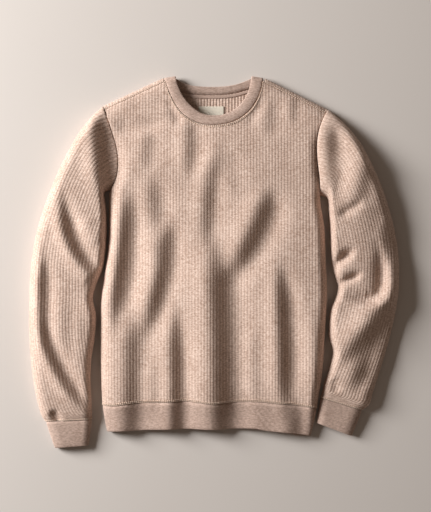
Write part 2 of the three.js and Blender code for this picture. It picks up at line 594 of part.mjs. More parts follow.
function backPanel() {
  const dots = [];
  const seams = new Map();
  const faces = [];
  const put = (p, seam) => {
    dots.push(p);
    if (seam) seams.set(dots.length - 1, seam);
    return dots.length - 1;
  };
  const rows = PLATE_LEVELS.map((level) => {
    const leftY = levelY(LEFT_ARM, level);
    const rightY = levelY(RIGHT_ARM, level);
    const left = backEdge(leftY, LEFT_ARM);
    const right = backEdge(rightY, RIGHT_ARM);
    return Array.from({ length: BACK_COLUMNS + 1 }, (_, i) => {
      const s = backShare(i);
      const y = level === 0 ? hemSeam(s) + GAP / 2 : mix(leftY, rightY, s);
      return point(mix(left, right, s), y, 0);
    });
  });
  rows.push(backTop);
  const ids = rows.map((row, j) => row.map((p, i) => {
    const level = j < PLATE_LEVELS.length ? PLATE_LEVELS[j] : 1;
    const side = (i === 0 || i === BACK_COLUMNS) && level > UNDERARM_LEVEL;
    const corner = level === 1 && (i === SHOULDER_COLUMNS || i === BACK_COLUMNS - SHOULDER_COLUMNS);
    return put(p.clone(), side || corner ? [sideways] : []);
  }));
  for (let j = 0; j < ids.length - 1; j += 1) {
    for (let i = 0; i < BACK_COLUMNS; i += 1) {
      faces.push([ids[j][i], ids[j + 1][i], ids[j + 1][i + 1], ids[j][i + 1]]);
    }
  }
  // Wraps over the shoulders, row by row round the fold and onto the top
  for (const arm of [LEFT_ARM, RIGHT_ARM]) {
    const left = arm === LEFT_ARM;
    const lapEdge = point(arm.tip[1] - arm.neck[1], arm.neck[0] - arm.tip[0], 0).normalize();
    const top = ids[ids.length - 1];
    const list = every(SHOULDER_COLUMNS + 1, 1).map((i) => top[left ? i : BACK_COLUMNS - i]);
    let past = list;
    const grow = (below, height, seam) => {
      const next = list.map((id, i) => {
        const x = i === 0 ? atArmhole(arm, below) : dots[id].x;
        const y = shoulderLine(x) - below;
        const p = point(x, y, height(x, y));
        const ends = i === 0 || i === SHOULDER_COLUMNS ? [sideways] : [];
        return put(p, seam ? [...ends, seam] : ends);
      });
      for (let k = 0; k < SHOULDER_COLUMNS; k += 1) {
        const quad = [past[k], next[k], next[k + 1], past[k + 1]];
        faces.push(left ? quad : quad.reverse());
      }
      past = next;
    };
    for (const a of SHOULDER_TURNS) {
      grow(FOLD_R * (1 - Math.sin(a)), () => FOLD_R * (1 - Math.cos(a)), null);
    }
    SHOULDER_LAPS.forEach((lap, k) => {
      grow(lap, (x, y) => bodyHeight(x, y), k === 2 ? lapEdge : null);
    });
  }
  // Wraps round the underarms, from the plate's edge up to the climbing side seam
  for (const arm of [LEFT_ARM, RIGHT_ARM]) {
    const left = arm === LEFT_ARM;
    let past = null;
    PLATE_LEVELS.forEach((level, j) => {
      const y = levelY(arm, level);
      const start = ids[j][left ? 0 : BACK_COLUMNS];
      const list = [start];
      const above = y - arm.underarm[1];
      if (above > -CLIMB && above < FOLD_R) {
        const end = Math.PI / 2 - seamTurn(y, arm) - (above > 0.01 ? 0 : GAP / FOLD_R);
        const radius = above < 0.01 ? FOLD_R : underHeight(y, arm);
        for (let k = 1; k <= UNDERARM_PARTS; k += 1) {
          const a = (end * k) / UNDERARM_PARTS;
          const x = dots[start].x + Math.sign(arm.tip[0]) * radius * Math.sin(a);
          const seam = above < 0.01 ? sideSeam(arm, level) : sideways;
          const p = point(x, y, radius * (1 - Math.cos(a)));
          list.push(put(p, k === UNDERARM_PARTS ? [seam] : []));
        }
      }
      if (past && (past.length > 1 || list.length > 1)) {
        const pick = (from, k) => from[Math.min(k, from.length - 1)];
        for (let k = 0; k < UNDERARM_PARTS; k += 1) {
          const quad = [pick(past, k), pick(past, k + 1), pick(list, k + 1), pick(list, k)];
          const kept = quad.filter((id, n) => id !== quad[(n + 3) % 4]);
          if (kept.length > 2) faces.push(left ? kept : kept.reverse());
        }
      }
      past = list;
    });
  }
  return sheetWall({ dots, faces, wall: WALL, seams });
}

// Tube lying on the floor: flat below, round at both folded edges, height field on top
function tubeRing({ outer, inner, top, creases, radius, across, shift }) {
  const reach = point(inner[0] - outer[0], inner[1] - outer[1], 0);
  const width = reach.length();
  reach.normalize();
  const half = Math.PI / 2;
  const outerRun = Math.min(OUTER_RUN, width * 0.4);
  const innerRun = Math.min(UNDERARM_RUN, width * 0.4);
  const place = (d, z) => {
    const p = point(outer[0] + reach.x * d, outer[1] + reach.y * d, z);
    if (shift) p.x += shift(p.y, d / width);
    return p;
  };
  const height = (d, creased) => {
    const p = place(d, 0);
    const crest = top + (creased ? creases(p.x, p.y) : 0);
    return radius + (crest - radius) * quarter(d / outerRun) * quarter((width - d) / innerRun);
  };
  const shape = [];
  const turnSteps = 6;
  for (let k = 0; k < turnSteps; k += 1) {
    const a = half * (1 - k / turnSteps);
    shape.push([radius * (1 - Math.cos(a)), radius * (1 - Math.sin(a)), false]);
  }
  const topSteps = 60;
  for (let k = 0; k <= topSteps; k += 1) {
    const d = (width * (1 - Math.cos((Math.PI * k) / topSteps))) / 2;
    shape.push([d, height(d, false), true]);
  }
  for (let k = 1; k <= turnSteps; k += 1) {
    const a = (half * k) / turnSteps;
    shape.push([width - radius * (1 - Math.cos(a)), radius * (1 - Math.sin(a)), false]);
  }
  const run = [0];
  for (let k = 1; k < shape.length; k += 1) {
    run.push(run[k - 1] + Math.hypot(shape[k][0] - shape[k - 1][0], shape[k][1] - shape[k - 1][1]));
  }
  const ring = [];
  for (let i = 0; i <= across.over; i += 1) {
    const want = (run[run.length - 1] * i) / across.over;
    let k = 0;
    while (k < shape.length - 2 && run[k + 1] < want) k += 1;
    const t = (want - run[k]) / (run[k + 1] - run[k]);
    const d = mix(shape[k][0], shape[k + 1][0], t);
    const flat = mix(shape[k][1], shape[k + 1][1], t);
    const z = shape[k][2] && shape[k + 1][2] ? flat + height(d, true) - height(d, false) : flat;
    ring.push(place(d, z));
  }
  for (let i = 1; i < across.below; i += 1) {
    ring.push(place(mix(width - radius, radius, i / across.below), 0));
  }
  return ring;
}

function sectionReader(rows) {
  const C = SLEEVE_COLUMNS;
  const keyed = rows.map((row, k) => [k, ...row]);
  const read = (column) => through(keyed, 0, column + 1);
  const [ox, oy, ix, iy, top] = [C.outerX, C.outerY, C.innerX, C.innerY, C.top].map(read);
  return (t) => {
    const k = t * (rows.length - 1);
    return { outer: [ox(k), oy(k)], inner: [ix(k), iy(k)], top: top(k) };
  };
}

function tube({ rows, levels, creases, radius, across, shift }) {
  const read = sectionReader(rows);
  return levels.map((t) => tubeRing({
    ...read(t), creases, radius: radius(t), across, shift: shift ? (y, share) => shift(t, y, share) : null,
  }));
}

function ringSeam(ring, sign) {
  return (i) => {
    const n = ring.length;
    const a = ring[0];
    const b = ring[Math.floor(n * 0.62)];
    const flat = point(b.y - a.y, a.x - b.x, 0).normalize();
    return i >= 0 ? flat.multiplyScalar(sign) : flat;
  };
}

// Straight runs between listed points, one coordinate read by another
function chain(points, key, by = 'y') {
  return (value) => {
    let k = 0;
    while (k < points.length - 2 && points[k + 1][by] < value) k += 1;
    const [a, b] = [points[k], points[k + 1]];
    return mix(a[key], b[key], clamp((value - a[by]) / (b[by] - a[by]), 0, 1));
  };
}
// The armhole seam as the body's pieces have it: above on the front, below on the back
function armholeSeam(arm) {
  const edge = edgeOf(arm);
  const upper = FRONT_LEVELS.filter((level) => level >= UNDERARM_LEVEL).map((level) => {
    const y = levelY(arm, level);
    return point(edge(y), y, edgeHeight(y, arm));
  });
  upper[0] = point(edge(arm.underarm[1]), arm.underarm[1], FOLD_R);
  const wrap = [0, ...SHOULDER_TURNS].map((a) => {
    const below = FOLD_R * (1 - Math.sin(a));
    const x = atArmhole(arm, below);
    return point(x, shoulderLine(x) - below, FOLD_R * (1 - Math.cos(a)));
  });
  const foot = arm.underarm[1] + FOLD_R;
  const lower = PLATE_LEVELS.map((level) => levelY(arm, level)).filter((y) => y > foot + 1);
  const plate = [foot, ...lower].map((y) => point(edge(y), y, 0));
  plate.push(wrap[0]);
  return {
    lap: arm.tip[1] - SHOULDER_LAP,
    x: chain(upper, 'x'),
    z: chain(upper, 'z'),
    plateX: chain(plate, 'x'),
    plateY: plate.map((p) => p.y),
    wrapX: chain(wrap, 'x', 'z'),
    wrapY: chain(wrap, 'y', 'z'),
  };
}

// Sleeves: from the curved armhole seam to the cuff
const SLEEVE_ACROSS = { over: 2 * SLEEVE_RIBS + 4, below: 6 };
function sleeve(rows, folds, edge, arm, out) {
  const levels = Array.from({ length: SLEEVE_ROWS }, (_, j) => (0.955 * j) / (SLEEVE_ROWS - 1));
  levels.push(0.978, 1);
  const creases = foldField(folds);
  const line = (y) => {
    const t = (y - arm.tip[1]) / (arm.underarm[1] - arm.tip[1]);
    return mix(arm.tip[0], arm.underarm[0], t);
  };
  const outward = -out;
  const grid = tube({
    rows,
    levels,
    creases,
    radius: (t) => mix(FOLD_R, CUFF_R, ease((t - 0.8) / 0.2)),
    across: SLEEVE_ACROSS,
    shift: (t, y, share) => {
      const fade = Math.max(0, 1 - t / 0.16) ** 2;
      const yy = mix(arm.tip[1], arm.underarm[1], clamp(share, 0, 1));
      return fade * (edge(yy) - line(yy));
    },
  });
  // The first ring sits on the armhole seam, a gap away from the body's pieces
  const seam = armholeSeam(arm);
  const outwards = (Math.sign(arm.tip[0]) * GAP) / 2;
  grid[0].forEach((p, i) => {
    if (i > SLEEVE_ACROSS.over) {
      p.y = seam.plateY[i - SLEEVE_ACROSS.over];
      p.x = seam.plateX(p.y);
    } else if (i < SLEEVE_ACROSS.over / 2 && p.z < FOLD_R) {
      p.x = seam.wrapX(p.z) + Math.sign(arm.tip[0]) * TIP_GAP;
      p.y = seam.wrapY(p.z);
    } else if (p.z > FOLD_R && p.y < seam.lap) {
      p.x = seam.x(p.y);
      p.z = seam.z(p.y);
    }
    p.x += outwards;
  });
  const count = grid[0].length;
  const inside = every(SLEEVE_ACROSS.over, 3);
  for (let i = SLEEVE_ACROSS.over; i < count; i += 2) inside.push(i);
  const last = levels.length - 1;
  return gridWall({
    grid,
    wall: WALL,
    closed: true,
    out: -outward,
    rise: (i, j) => (i % 2 && i > 1 && i < SLEEVE_ACROSS.over - 1 && j > 0 && j < last ? RIB_RISE : 0),
    inside,
    edges: { start: () => sideways, end: ringSeam(grid[last], 1) },
  });
}

// Cuffs: tapering tubes of fine rib
const CUFF_ACROSS = { over: 20, below: 4 };
function cuff(rows, out) {
  const grid = tube({
    rows,
    levels: [0, 0.5, 1],
    creases: () => 0,
    radius: (t) => mix(CUFF_R, CUFF_R - 0.6, t),
    across: CUFF_ACROSS,
  });
  return gridWall({
    grid,
    wall: BAND_WALL,
    closed: true,
    out,
    inside: every(CUFF_ACROSS.over + CUFF_ACROSS.below, 2),
    edges: { start: ringSeam(grid[0], 1), end: ringSeam(grid[2], 1) },
  });
}

// Hem band: one closed tube, its seam and its free edge both wavy
const HEM_OVER = FRONT_RIBS;
function hemBand() {
  const grid = [0, 0.35, 1].map((level) => {
    const ring = [];
    for (let i = 0; i < HEM_OVER + BACK_COLUMNS; i += 1) {
      const over = i <= HEM_OVER;
      const s = over ? i / HEM_OVER : backShare(BACK_COLUMNS - (i - HEM_OVER));
      const y = mix(hemSeam(s) - GAP, hemEdge(s), level);
      const flat = point(mix(leftEdge(y) + FOLD_R, rightEdge(y) - FOLD_R, s), y, 0);
      ring.push(over ? frontSection(y, s, Math.PI / 2, Math.PI / 2) : flat);
    }
    return ring;
  });
  const seam = (ring) => (i) => {
    const n = ring.length;
    const a = ring[(i + n - 1) % n];
    const b = ring[(i + 1) % n];
    const flat = point(a.y - b.y, b.x - a.x, 0);
    return Math.abs(flat.y) > 2 ? flat.normalize() : point(0, 1, 0);
  };
  return gridWall({
    grid,
    wall: BAND_WALL,
    closed: true,
    out: -1,
    inside: every(HEM_OVER + BACK_COLUMNS, 1),
    edges: { start: seam(grid[0]), end: seam(grid[2]) },
  });
}

// Neckband: a ring of strip stations, raised in front, folded at both neck points, flat behind
function curveOf(rows) {
  return new THREE.CatmullRomCurve3(rows.map(([x, y]) => point(x, y, 0)), false, 'centripetal');
}
// Points of a row paired with a curve by the share of their length
function paired(row, rows) {
  const run = [0];
  for (let k = 1; k < row.length; k += 1) run.push(run[k - 1] + row[k].distanceTo(row[k - 1]));
  const curve = curveOf(rows);
  return row.map((p, k) => [p, curve.getPointAt(run[k] / run[row.length - 1]), run[k] / run[row.length - 1]]);
}
function neckband() {
  const seam = [];
  const free = [];
  const fold = (side) => {
    const arm = side < 0 ? LEFT_ARM : RIGHT_ARM;
    const x = arm.neck[0] - side * 0.9;
    const line = arm.neck[1];
    const tip = side < 0 ? -75 : 73;
    const list = [
      [x, line - 3.2, bodyHeight(x, line - 3.2), tip, 360.5, 16.5],
      [x, line - 0.6, bodyHeight(x, line - 0.6), tip, 362.6, 13.6],
      [x, line - 1.2, FOLD_R * 0.5, tip, 362.6, 9.5],
      [x, line - FOLD_R * 0.55, FOLD_R * 0.12, tip, 361.4, 6],
    ];
    return side < 0 ? list.reverse() : list;
  };
  const addFold = (side) => fold(side).forEach(([x, y, z, fx, fy, fz]) => {
    seam.push(point(x, y, z));
    free.push(point(fx, fy, fz));
  });
  const within = (p) => p.x > NECK_FRONT[0][0] + 0.5 && p.x < NECK_FRONT[NECK_FRONT.length - 1][0] - 0.5;
  const frontSeam = fronts[fronts.length - 1].filter(within);
  paired(frontSeam, FREE_FRONT).forEach(([a, b, t]) => {
    const rise = ease(t / 0.12) * ease((1 - t) / 0.12);
    seam.push(a.clone());
    free.push(point(b.x, b.y, mix(18.5, 21.5, rise)));
  });
  addFold(1);
  const backSeam = backTop.slice(SHOULDER_COLUMNS, BACK_COLUMNS - SHOULDER_COLUMNS + 1).reverse();
  paired(backSeam, FREE_BACK).forEach(([a, b]) => {
    seam.push(a.clone());
    free.push(point(b.x, b.y, 2.6));
  });
  addFold(-1);
  const count = seam.length;
  // Level direction from the seam towards the free edge, square to the seam
  const outOfSeam = (k) => {
    const tangent = seam[(k + 1) % count].clone().sub(seam[(k + count - 1) % count]).setZ(0);
    const over = free[k].clone().sub(seam[k]).setZ(0);
    if (tangent.length() > 1) over.addScaledVector(tangent, -over.dot(tangent) / tangent.lengthSq());
    return over.normalize();
  };
  const grid = [0, 0.5, 1].map((q) => seam.map((p, k) => {
    const start = p.clone().addScaledVector(outOfSeam(k), GAP * 1.15);
    const bulge = k < frontSeam.length ? 6 * q * (1 - q) : 0;
    return start.lerp(free[k], q).add(point(0, 0, bulge));
  }));
  const freeLine = (k) => {
    const tangent = free[(k + 1) % count].clone().sub(free[(k + count - 1) % count]).normalize();
    const over = free[k].clone().sub(seam[k]);
    return over.addScaledVector(tangent, -over.dot(tangent)).normalize();
  };
  return gridWall({
    grid,
    wall: BAND_WALL,
    closed: true,
    out: 1,
    inside: every(count, 1),
    edges: { start: outOfSeam, end: freeLine },
  });
}

// Small flat pieces on the inside of the back panel: tape along the neck seam and a plain label
const TAPE_WIDTH = 6;
const TAPE_THICK = 1.2;
const LABEL = { x: -5.5, y: 294.5, width: 50, height: 21, thick: 0.8 };
function strip(left, right, low, high, z, thick, steps) {
  const grid = [0, 1].map((q) => Array.from({ length: steps + 1 }, (_, i) => {
    const x = mix(left, right, i / steps);
    return point(x, mix(low(x), high(x), q), z + thick);
  }));
  return gridWall({ grid, wall: thick, inside: every(steps + 1, 1) });
}
const tapeTop = (x) => neckBackY(x) - 0.9;
const tape = strip(-82, 80, (x) => tapeTop(x) - TAPE_WIDTH, tapeTop, WALL + GAP, TAPE_THICK, 20);
const label = strip(
  LABEL.x - LABEL.width / 2,
  LABEL.x + LABEL.width / 2,
  () => LABEL.y - LABEL.height / 2,
  () => LABEL.y + LABEL.height / 2,
  WALL + GAP,
  LABEL.thick,
  4,
);

const garment = new THREE.Group();
garment.name = 'crewneck_sweatshirt';
garment.add(node('front_panel', frontPanel, BODY));
garment.add(node('back_panel', backPanel(), BODY));
garment.add(node('sleeve_left', sleeve(LEFT_SLEEVE, LEFT_SLEEVE_FOLDS, leftEdge, LEFT_ARM, -1), BODY));
garment.add(node('sleeve_right', sleeve(RIGHT_SLEEVE, RIGHT_SLEEVE_FOLDS, rightEdge, RIGHT_ARM, 1), BODY));
garment.add(node('neckband', neckband(), BAND));
garment.add(node('hem_band', hemBand(), BAND));
garment.add(node('cuff_left', cuff(LEFT_CUFF, -1), BAND));
garment.add(node('cuff_right', cuff(RIGHT_CUFF, 1), BAND));
garment.add(node('back_neck_tape', tape, { color: 0xc9ad9f, roughness: 0.9 }));
garment.add(node('neck_label', label, { color: 0xd8cbb8, roughness: 0.85 }));

export default garment;
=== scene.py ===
import math

import bpy
import numpy as np
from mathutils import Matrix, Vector


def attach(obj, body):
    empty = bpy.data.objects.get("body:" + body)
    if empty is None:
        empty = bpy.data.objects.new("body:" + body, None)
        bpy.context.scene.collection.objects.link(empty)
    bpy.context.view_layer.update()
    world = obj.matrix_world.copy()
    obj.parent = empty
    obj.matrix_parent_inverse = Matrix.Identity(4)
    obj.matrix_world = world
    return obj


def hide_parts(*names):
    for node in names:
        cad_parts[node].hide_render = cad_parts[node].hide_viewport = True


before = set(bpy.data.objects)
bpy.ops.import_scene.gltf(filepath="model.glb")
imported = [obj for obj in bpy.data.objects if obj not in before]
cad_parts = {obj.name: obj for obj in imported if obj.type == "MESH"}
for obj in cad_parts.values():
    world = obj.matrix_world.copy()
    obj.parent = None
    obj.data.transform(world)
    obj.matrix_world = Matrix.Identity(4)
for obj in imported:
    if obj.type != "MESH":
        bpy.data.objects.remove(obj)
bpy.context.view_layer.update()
scene = bpy.context.scene

# Sizes of the garment are in millimetres and become metres where a mesh is made
MM = 0.001

# Knit: width of one rib of the body, its height, and columns of mesh across it
RIB = 6.0
RIB_RISE = 0.5
RIB_COLUMNS = 5
FINE_RIB = 2.4
FINE_RISE = 0.45
FINE_COLUMNS = 4

# Height over the floor by which ribs and fine ribs have grown to their full size
RIB_START = 5.0
FINE_START = 4.0

# Cloth and seams: walls, gap, and the width over which ribs grow in from a seam
WALL = 2.4
BAND_WALL = 2.9
GAP = 0.3
EDGE_DIP = 3.5

# Folded edges: radii, widths over which the tops rise, height of the armhole seam, turn of the side seam
FOLD_R = 9.0
CUFF_R = 7.0
SIDE_RUN = 27.0
RIGHT_RUN = 19.0
SHOULDER_RUN = 34.0
UNDERARM_RUN = 30.0
OUTER_RUN = 22.0
INNER_RUN = 15.0
SEAM_Z = 22.0
CLIMB = 22.0
SHOULDER_LAP = 6.6

# Lengths that the grids start from: the hem seam's usual y, lengths of the panels and of a sleeve
HEM_LEVEL = -277.0
FRONT_TOP = 300.0
BACK_TOP = 330.0
PANEL_LENGTH = 560.0
SLEEVE_LENGTH = 640.0

# Stitches: length, spacing, lift and thickness, and how far both rows are from their seam
STITCH = 3.7
STITCH_STEP = 3.9
STITCH_LIFT = 0.65
THREAD = 1.6
NEAR_ROW = 1.4
FAR_ROW = 3.9
STITCH_FLOOR = 6.0

# Tape and label: thickness, width of the tape, lower and upper edge of the label
TAPE_THICK = 1.6
TAPE_WIDTH = 6.0
LABEL_THICK = 1.1
LABEL_LOW, LABEL_HIGH = 284.0, 305.0

# Floor: half its side and its level, in metres
FLOOR_HALF = 6.0
FLOOR_Z = -0.0006

# Sides of the body from hem to underarm, then the armhole seams up to the shoulders: y, x
LEFT_SIDE = [
    (-335, -208), (-308, -213.7), (-277, -218), (-230, -220.5), (-113, -221.3), (-74, -220.2),
    (-45, -216.6), (-16, -212.4), (14, -208.5), (43, -205.7), (72, -204.4), (121, -204.6),
    (140, -202.6), (154, -194.2), (170, -189), (189, -187), (209, -187.8), (228, -191.3),
    (248, -197), (267, -203), (285, -209.6), (299, -215), (304.2, -217.6),
]
RIGHT_SIDE = [
    (-343, 187), (-318, 193.8), (-289, 199.7), (-259, 204.6), (-230, 209.4), (-201, 212.4),
    (-142, 216.3), (-74, 220.2), (-35, 220.2), (-6, 218.2), (52, 216.3), (72, 214.7),
    (92, 211.6), (107, 208.8), (130, 207), (160, 205.3), (179, 203.2), (199, 201),
    (222, 199.9), (242, 201.2), (261, 205.3), (279, 212), (291, 218.6), (297.2, 222.6),
]
# Shoulder tip, neck point and underarm of each side: x, y
LEFT_ARM = {"side": -1, "tip": (-217.6, 304.2), "neck": (-98.7, 359.8), "underarm": (-202.6, 140.0)}
RIGHT_ARM = {"side": 1, "tip": (222.6, 297.2), "neck": (96.9, 359.8), "underarm": (207.0, 130.3)}

# Neckline seam and the free edge of the neckband: x, y
NECK_FRONT = [
    (-96.3, 353.6), (-92.8, 343.2), (-88.9, 332.5), (-84, 321.8), (-78.2, 311), (-70.4, 299.3),
    (-60.6, 288.6), (-48.9, 279.8), (-35.3, 273), (-19.7, 268.5), (-1.2, 267.1), (17.4, 268.5),
    (33, 272), (47.6, 277.9), (60.3, 286.6), (71, 296.4), (79.8, 308.1), (86.6, 320.8),
    (91.5, 333.4), (94.4, 345.1), (95.2, 353.6),
]
NECK_BACK = [
    (-96.5, 351), (-88, 344), (-78, 338), (-64, 332.5), (-47, 329), (-27, 327.5), (-2, 327),
    (23, 328), (45, 331.5), (62, 336.5), (76, 340), (88, 345), (96, 351),
]
FREE_FRONT = [
    (-73.6, 356), (-70.4, 345.1), (-62.6, 327.6), (-51.9, 312), (-37.2, 298.3), (-20.7, 289),
    (-1.2, 286.1), (18.3, 288), (35.9, 295.4), (51.5, 308.1), (62.2, 323.7), (69, 341.2),
    (71.8, 356),
]
FREE_BACK = [
    (71.8, 359), (58.3, 353.1), (42.7, 347.9), (21.3, 344.4), (-2.1, 343.2), (-27.5, 344),
    (-47, 346.3), (-60.6, 350.4), (-73.8, 359),
]

# Seam above the hem band and the band's free edge: x, y
HEM_SEAM = [
    (-222, -277), (-203, -279.8), (-180, -280.8), (-154, -276.5), (-125, -274.4), (-86, -273.4),
    (-57, -271.4), (-28, -274.2), (-2, -276.9), (21, -274.9), (50, -273), (80, -273),
    (109, -275.9), (138, -278.3), (168, -282.8), (187, -286.6), (206, -289.6),
]
HEM_EDGE = [
    (-215, -332), (-164, -330), (-105, -327.6), (-47, -326), (2, -327.2), (50, -325.6),
    (80, -326.2), (99, -329.6), (148, -334.2), (191, -340.5),
]

# Sleeve and cuff sections from the armhole down: outer edge x, y, inner edge x, y, top height
LEFT_SLEEVE = [
    (-217.6, 304.2, -202.6, 140, 22), (-240, 282.8, -213.7, 136, 33), (-263.4, 253.5, -214.7, 127, 39),
    (-284.9, 216.4, -212.7, 115, 40), (-303.4, 179.4, -210.6, 99.5, 40), (-319, 142.3, -210, 80, 39),
    (-332.7, 105.3, -210, 56.5, 39), (-343.4, 70.2, -211.2, 29.2, 39), (-351.2, 37, -214.3, 5.8, 38),
    (-356.7, 1.9, -219.6, -17.6, 37), (-359.6, -33.1, -230.9, -44.9, 35),
    (-360.9, -68.2, -237.1, -72.1, 34), (-361.3, -105.3, -230.7, -107.2, 35),
    (-360.9, -148.2, -234.2, -152.1, 34), (-357.6, -191.1, -240.4, -193, 32),
    (-352.6, -234, -241.6, -234, 30), (-345.3, -273, -240, -271.1, 27),
    (-337, -301, -239.1, -297, 24), (-329, -311.5, -240, -306.6, 20),
]
RIGHT_SLEEVE = [
    (222.6, 297.2, 207, 130.3, 22), (241.6, 281.8, 219.2, 127, 33), (261.1, 263.2, 223.7, 117, 39),
    (280.6, 239.8, 224.4, 101.4, 40), (297.2, 212.5, 225.6, 85.8, 40), (311.8, 183.3, 226.8, 70.2, 39),
    (325.5, 152.1, 227.4, 50.7, 39), (337.2, 119, 228, 29.2, 38), (346.9, 85.8, 228.9, 9.8, 37),
    (354.7, 50.7, 231.9, -11.7, 36), (359.8, 15.6, 237.7, -31.2, 35), (361.3, -19.5, 242.6, -48.8, 34),
    (360.4, -54.6, 238.7, -68.2, 34), (355.7, -89.7, 228.9, -89.7, 34), (348.9, -122.8, 225, -115, 34),
    (340.1, -157.9, 225.4, -148.2, 33), (330.3, -191.1, 232.2, -175.5, 32),
    (320.6, -222.3, 225.6, -206.7, 30), (309.9, -255.4, 216.3, -235.9, 27),
    (303.5, -278.5, 211.5, -254, 24), (289, -289, 208.8, -264.5, 20),
]
LEFT_CUFF = [
    (-328.6, -312.2, -239.9, -307.3, 20), (-324.5, -326, -241, -320, 19.5),
    (-318.5, -344, -243, -338, 18), (-311.2, -364.1, -245.9, -358.8, 15.5),
]
RIGHT_CUFF = [
    (288.6, -289.7, 208.6, -265.2, 20), (284.5, -303, 207, -278, 19.5),
    (277, -321, 204, -296, 18), (268.9, -340.3, 200.7, -314.9, 15.5),
]

# Height of the body's top along its length: y, z
BODY_TOP = [
    (-343, 17), (-328, 18), (-300, 21), (-277, 25), (-240, 30), (-150, 34), (0, 35), (120, 34),
    (190, 31), (235, 27), (270, 23), (300, 22), (362, 22),
]

# Folds: start, middle and end of the line, half width, drop towards its right, lift along it
BODY_FOLDS = [
    # Left of the chest, the strong pair and the long one down the middle
    (-160, 160, -178, 10, -202, -165, 23, 17.5, 0), (-120, 180, -116, 80, -112, -20, 20, 8, 0),
    (-84, 95, -100, -20, -146, -180, 19, 13, 0), (-52, 285, -46, 230, -52, 150, 15, 5.5, 0),
    (20, 248, -9, 128, -10, 10, 17, 7.5, 0), (-4, 62, 15, -150, 14, -520, 27, 21, 0),
    (108, 156, 82, 58, 10, -58, 22, 15, 0), (124, 15, 136, -140, 136, -320, 17, 13.5, 0),
    (-78, -60, -73, -260, -78, -520, 16, 11.5, 0), (-158, -60, -160, -230, -168, -520, 20, 10, 0),
    (148, -225, 160, -360, 158, -500, 20, 8.5, 0),
    # Soft ones by the shoulders and the neck
    (-122, 262, -130, 222, -134, 170, 15, 3.5, 0), (-210, 268, -150, 262, -84, 278, 15, 0, -4.5),
    (-190, 318, -130, 308, -78, 306, 11, 0, -3), (106, 320, 110, 285, 102, 235, 15, 3, 0),
    (160, 330, 154, 298, 156, 262, 11, 2.6, 0), (60, 262, 84, 292, 100, 322, 10, 0, -2.2),
    (-60, 262, -78, 292, -92, 322, 10, 0, -3), (40, 225, 28, 180, 48, 120, 16, 3.5, 0),
    # Slack between them
    (82, -120, 80, -200, 84, -300, 14, 3, 0),
    (-118, -190, -116, -240, -120, -300, 12, 2.5, 0), (188, -80, 191, -220, 186, -430, 16, 0, 4),
]
LEFT_SLEEVE_FOLDS = [
    # Crease from the elbow to the inner edge, with the bulge above it and the hollow below
    (-296, 150, -270, 25, -190, -50, 13, 15.5, 0), (-250, -30, -230, -40, -200, -52, 14, 0, -5),
    (-262, 92, -238, 60, -212, 44, 18, 0, 4),
    # Down the forearm
    (-331, 15, -333, -75, -328, -190, 12, 9, 0), (-336, -108, -302, -212, -230, -305, 12, 14, 0),
    (-317, -288, -309, -301, -300, -318, 9, 0, -8),
    # Valley beside the armhole
    (-232, 292, -220, 215, -216, 95, 16, 13, 0),
    (-296, -50, -286, -130, -292, -210, 16, 3, 0),
    (-350, 70, -338, 20, -324, -30, 12, 3, 0), (-262, -90, -254, -150, -258, -215, 12, 3, 0),
]
RIGHT_SLEEVE_FOLDS = [
    # Creases gathered at the inner elbow
    (214, -30, 244, 2, 278, 28, 10, 0, -12), (230, -44, 262, -34, 290, -18, 8, 0, -9),
    (244, -58, 322, -62, 310, 62, 12, 6, -10), (238, 88, 264, 102, 292, 124, 9, 0, -5.5),
    # Across the forearm, falling to the outer edge
    (374, -52, 300, -128, 232, -218, 20, 16, 0), (352, -96, 300, -176, 268, -262, 22, 15, 0),
    (228, -226, 236, -240, 242, -258, 11, 0, -3.5),
    # Valley beside the armhole
    (224, 292, 227, 205, 225, 102, 20, 19, 0),
    (296, 250, 318, 120, 324, -40, 42, 13, 0), (300, 215, 288, 150, 268, 100, 15, 4, 0),
    (344, 100, 334, 40, 338, -20, 14, 4, 0),
]


def ease(t):
    """Smooth step: t * t * (3 - 2t), held between 0 and 1."""
    t = np.clip(t, 0.0, 1.0)
    return t * t * (3.0 - 2.0 * t)


def quarter(t):
    """Quarter circle: the square root of 1 - (1 - t) squared, held between 0 and 1."""
    return np.sqrt(1.0 - (1.0 - np.clip(t, 0.0, 1.0)) ** 2)


def mix(a, b, t):
    """Straight mix of a and b by t."""
    return a + (b - a) * t


def through(at, to):
    """Smooth curve through points: cubic Hermite, slopes from both neighbours, level past its ends."""
    at = np.asarray(at, float)
    to = np.asarray(to, float)
    count = len(at)
    low = np.maximum(np.arange(count) - 1, 0)
    high = np.minimum(np.arange(count) + 1, count - 1)
    slope = (to[high] - to[low]) / (at[high] - at[low])

    def read(q):
        q = np.clip(q, at[0], at[-1])
        i = np.clip(np.searchsorted(at, q, side="right") - 1, 0, count - 2)
        span = at[i + 1] - at[i]
        t = (q - at[i]) / span
        bend = slope[i] * span * t * (1 - t) ** 2 - slope[i + 1] * span * t * t * (1 - t)
        return to[i] * (1 + 2 * t) * (1 - t) ** 2 + to[i + 1] * t * t * (3 - 2 * t) + bend
    return read


def unit(vectors):
    """Vectors made one long."""
    return vectors / np.linalg.norm(vectors, axis=-1, keepdims=True)


def columns_of(rows):
    """The columns of a table as arrays."""
    return np.array(rows, float).T


FOLD_STEPS = 8


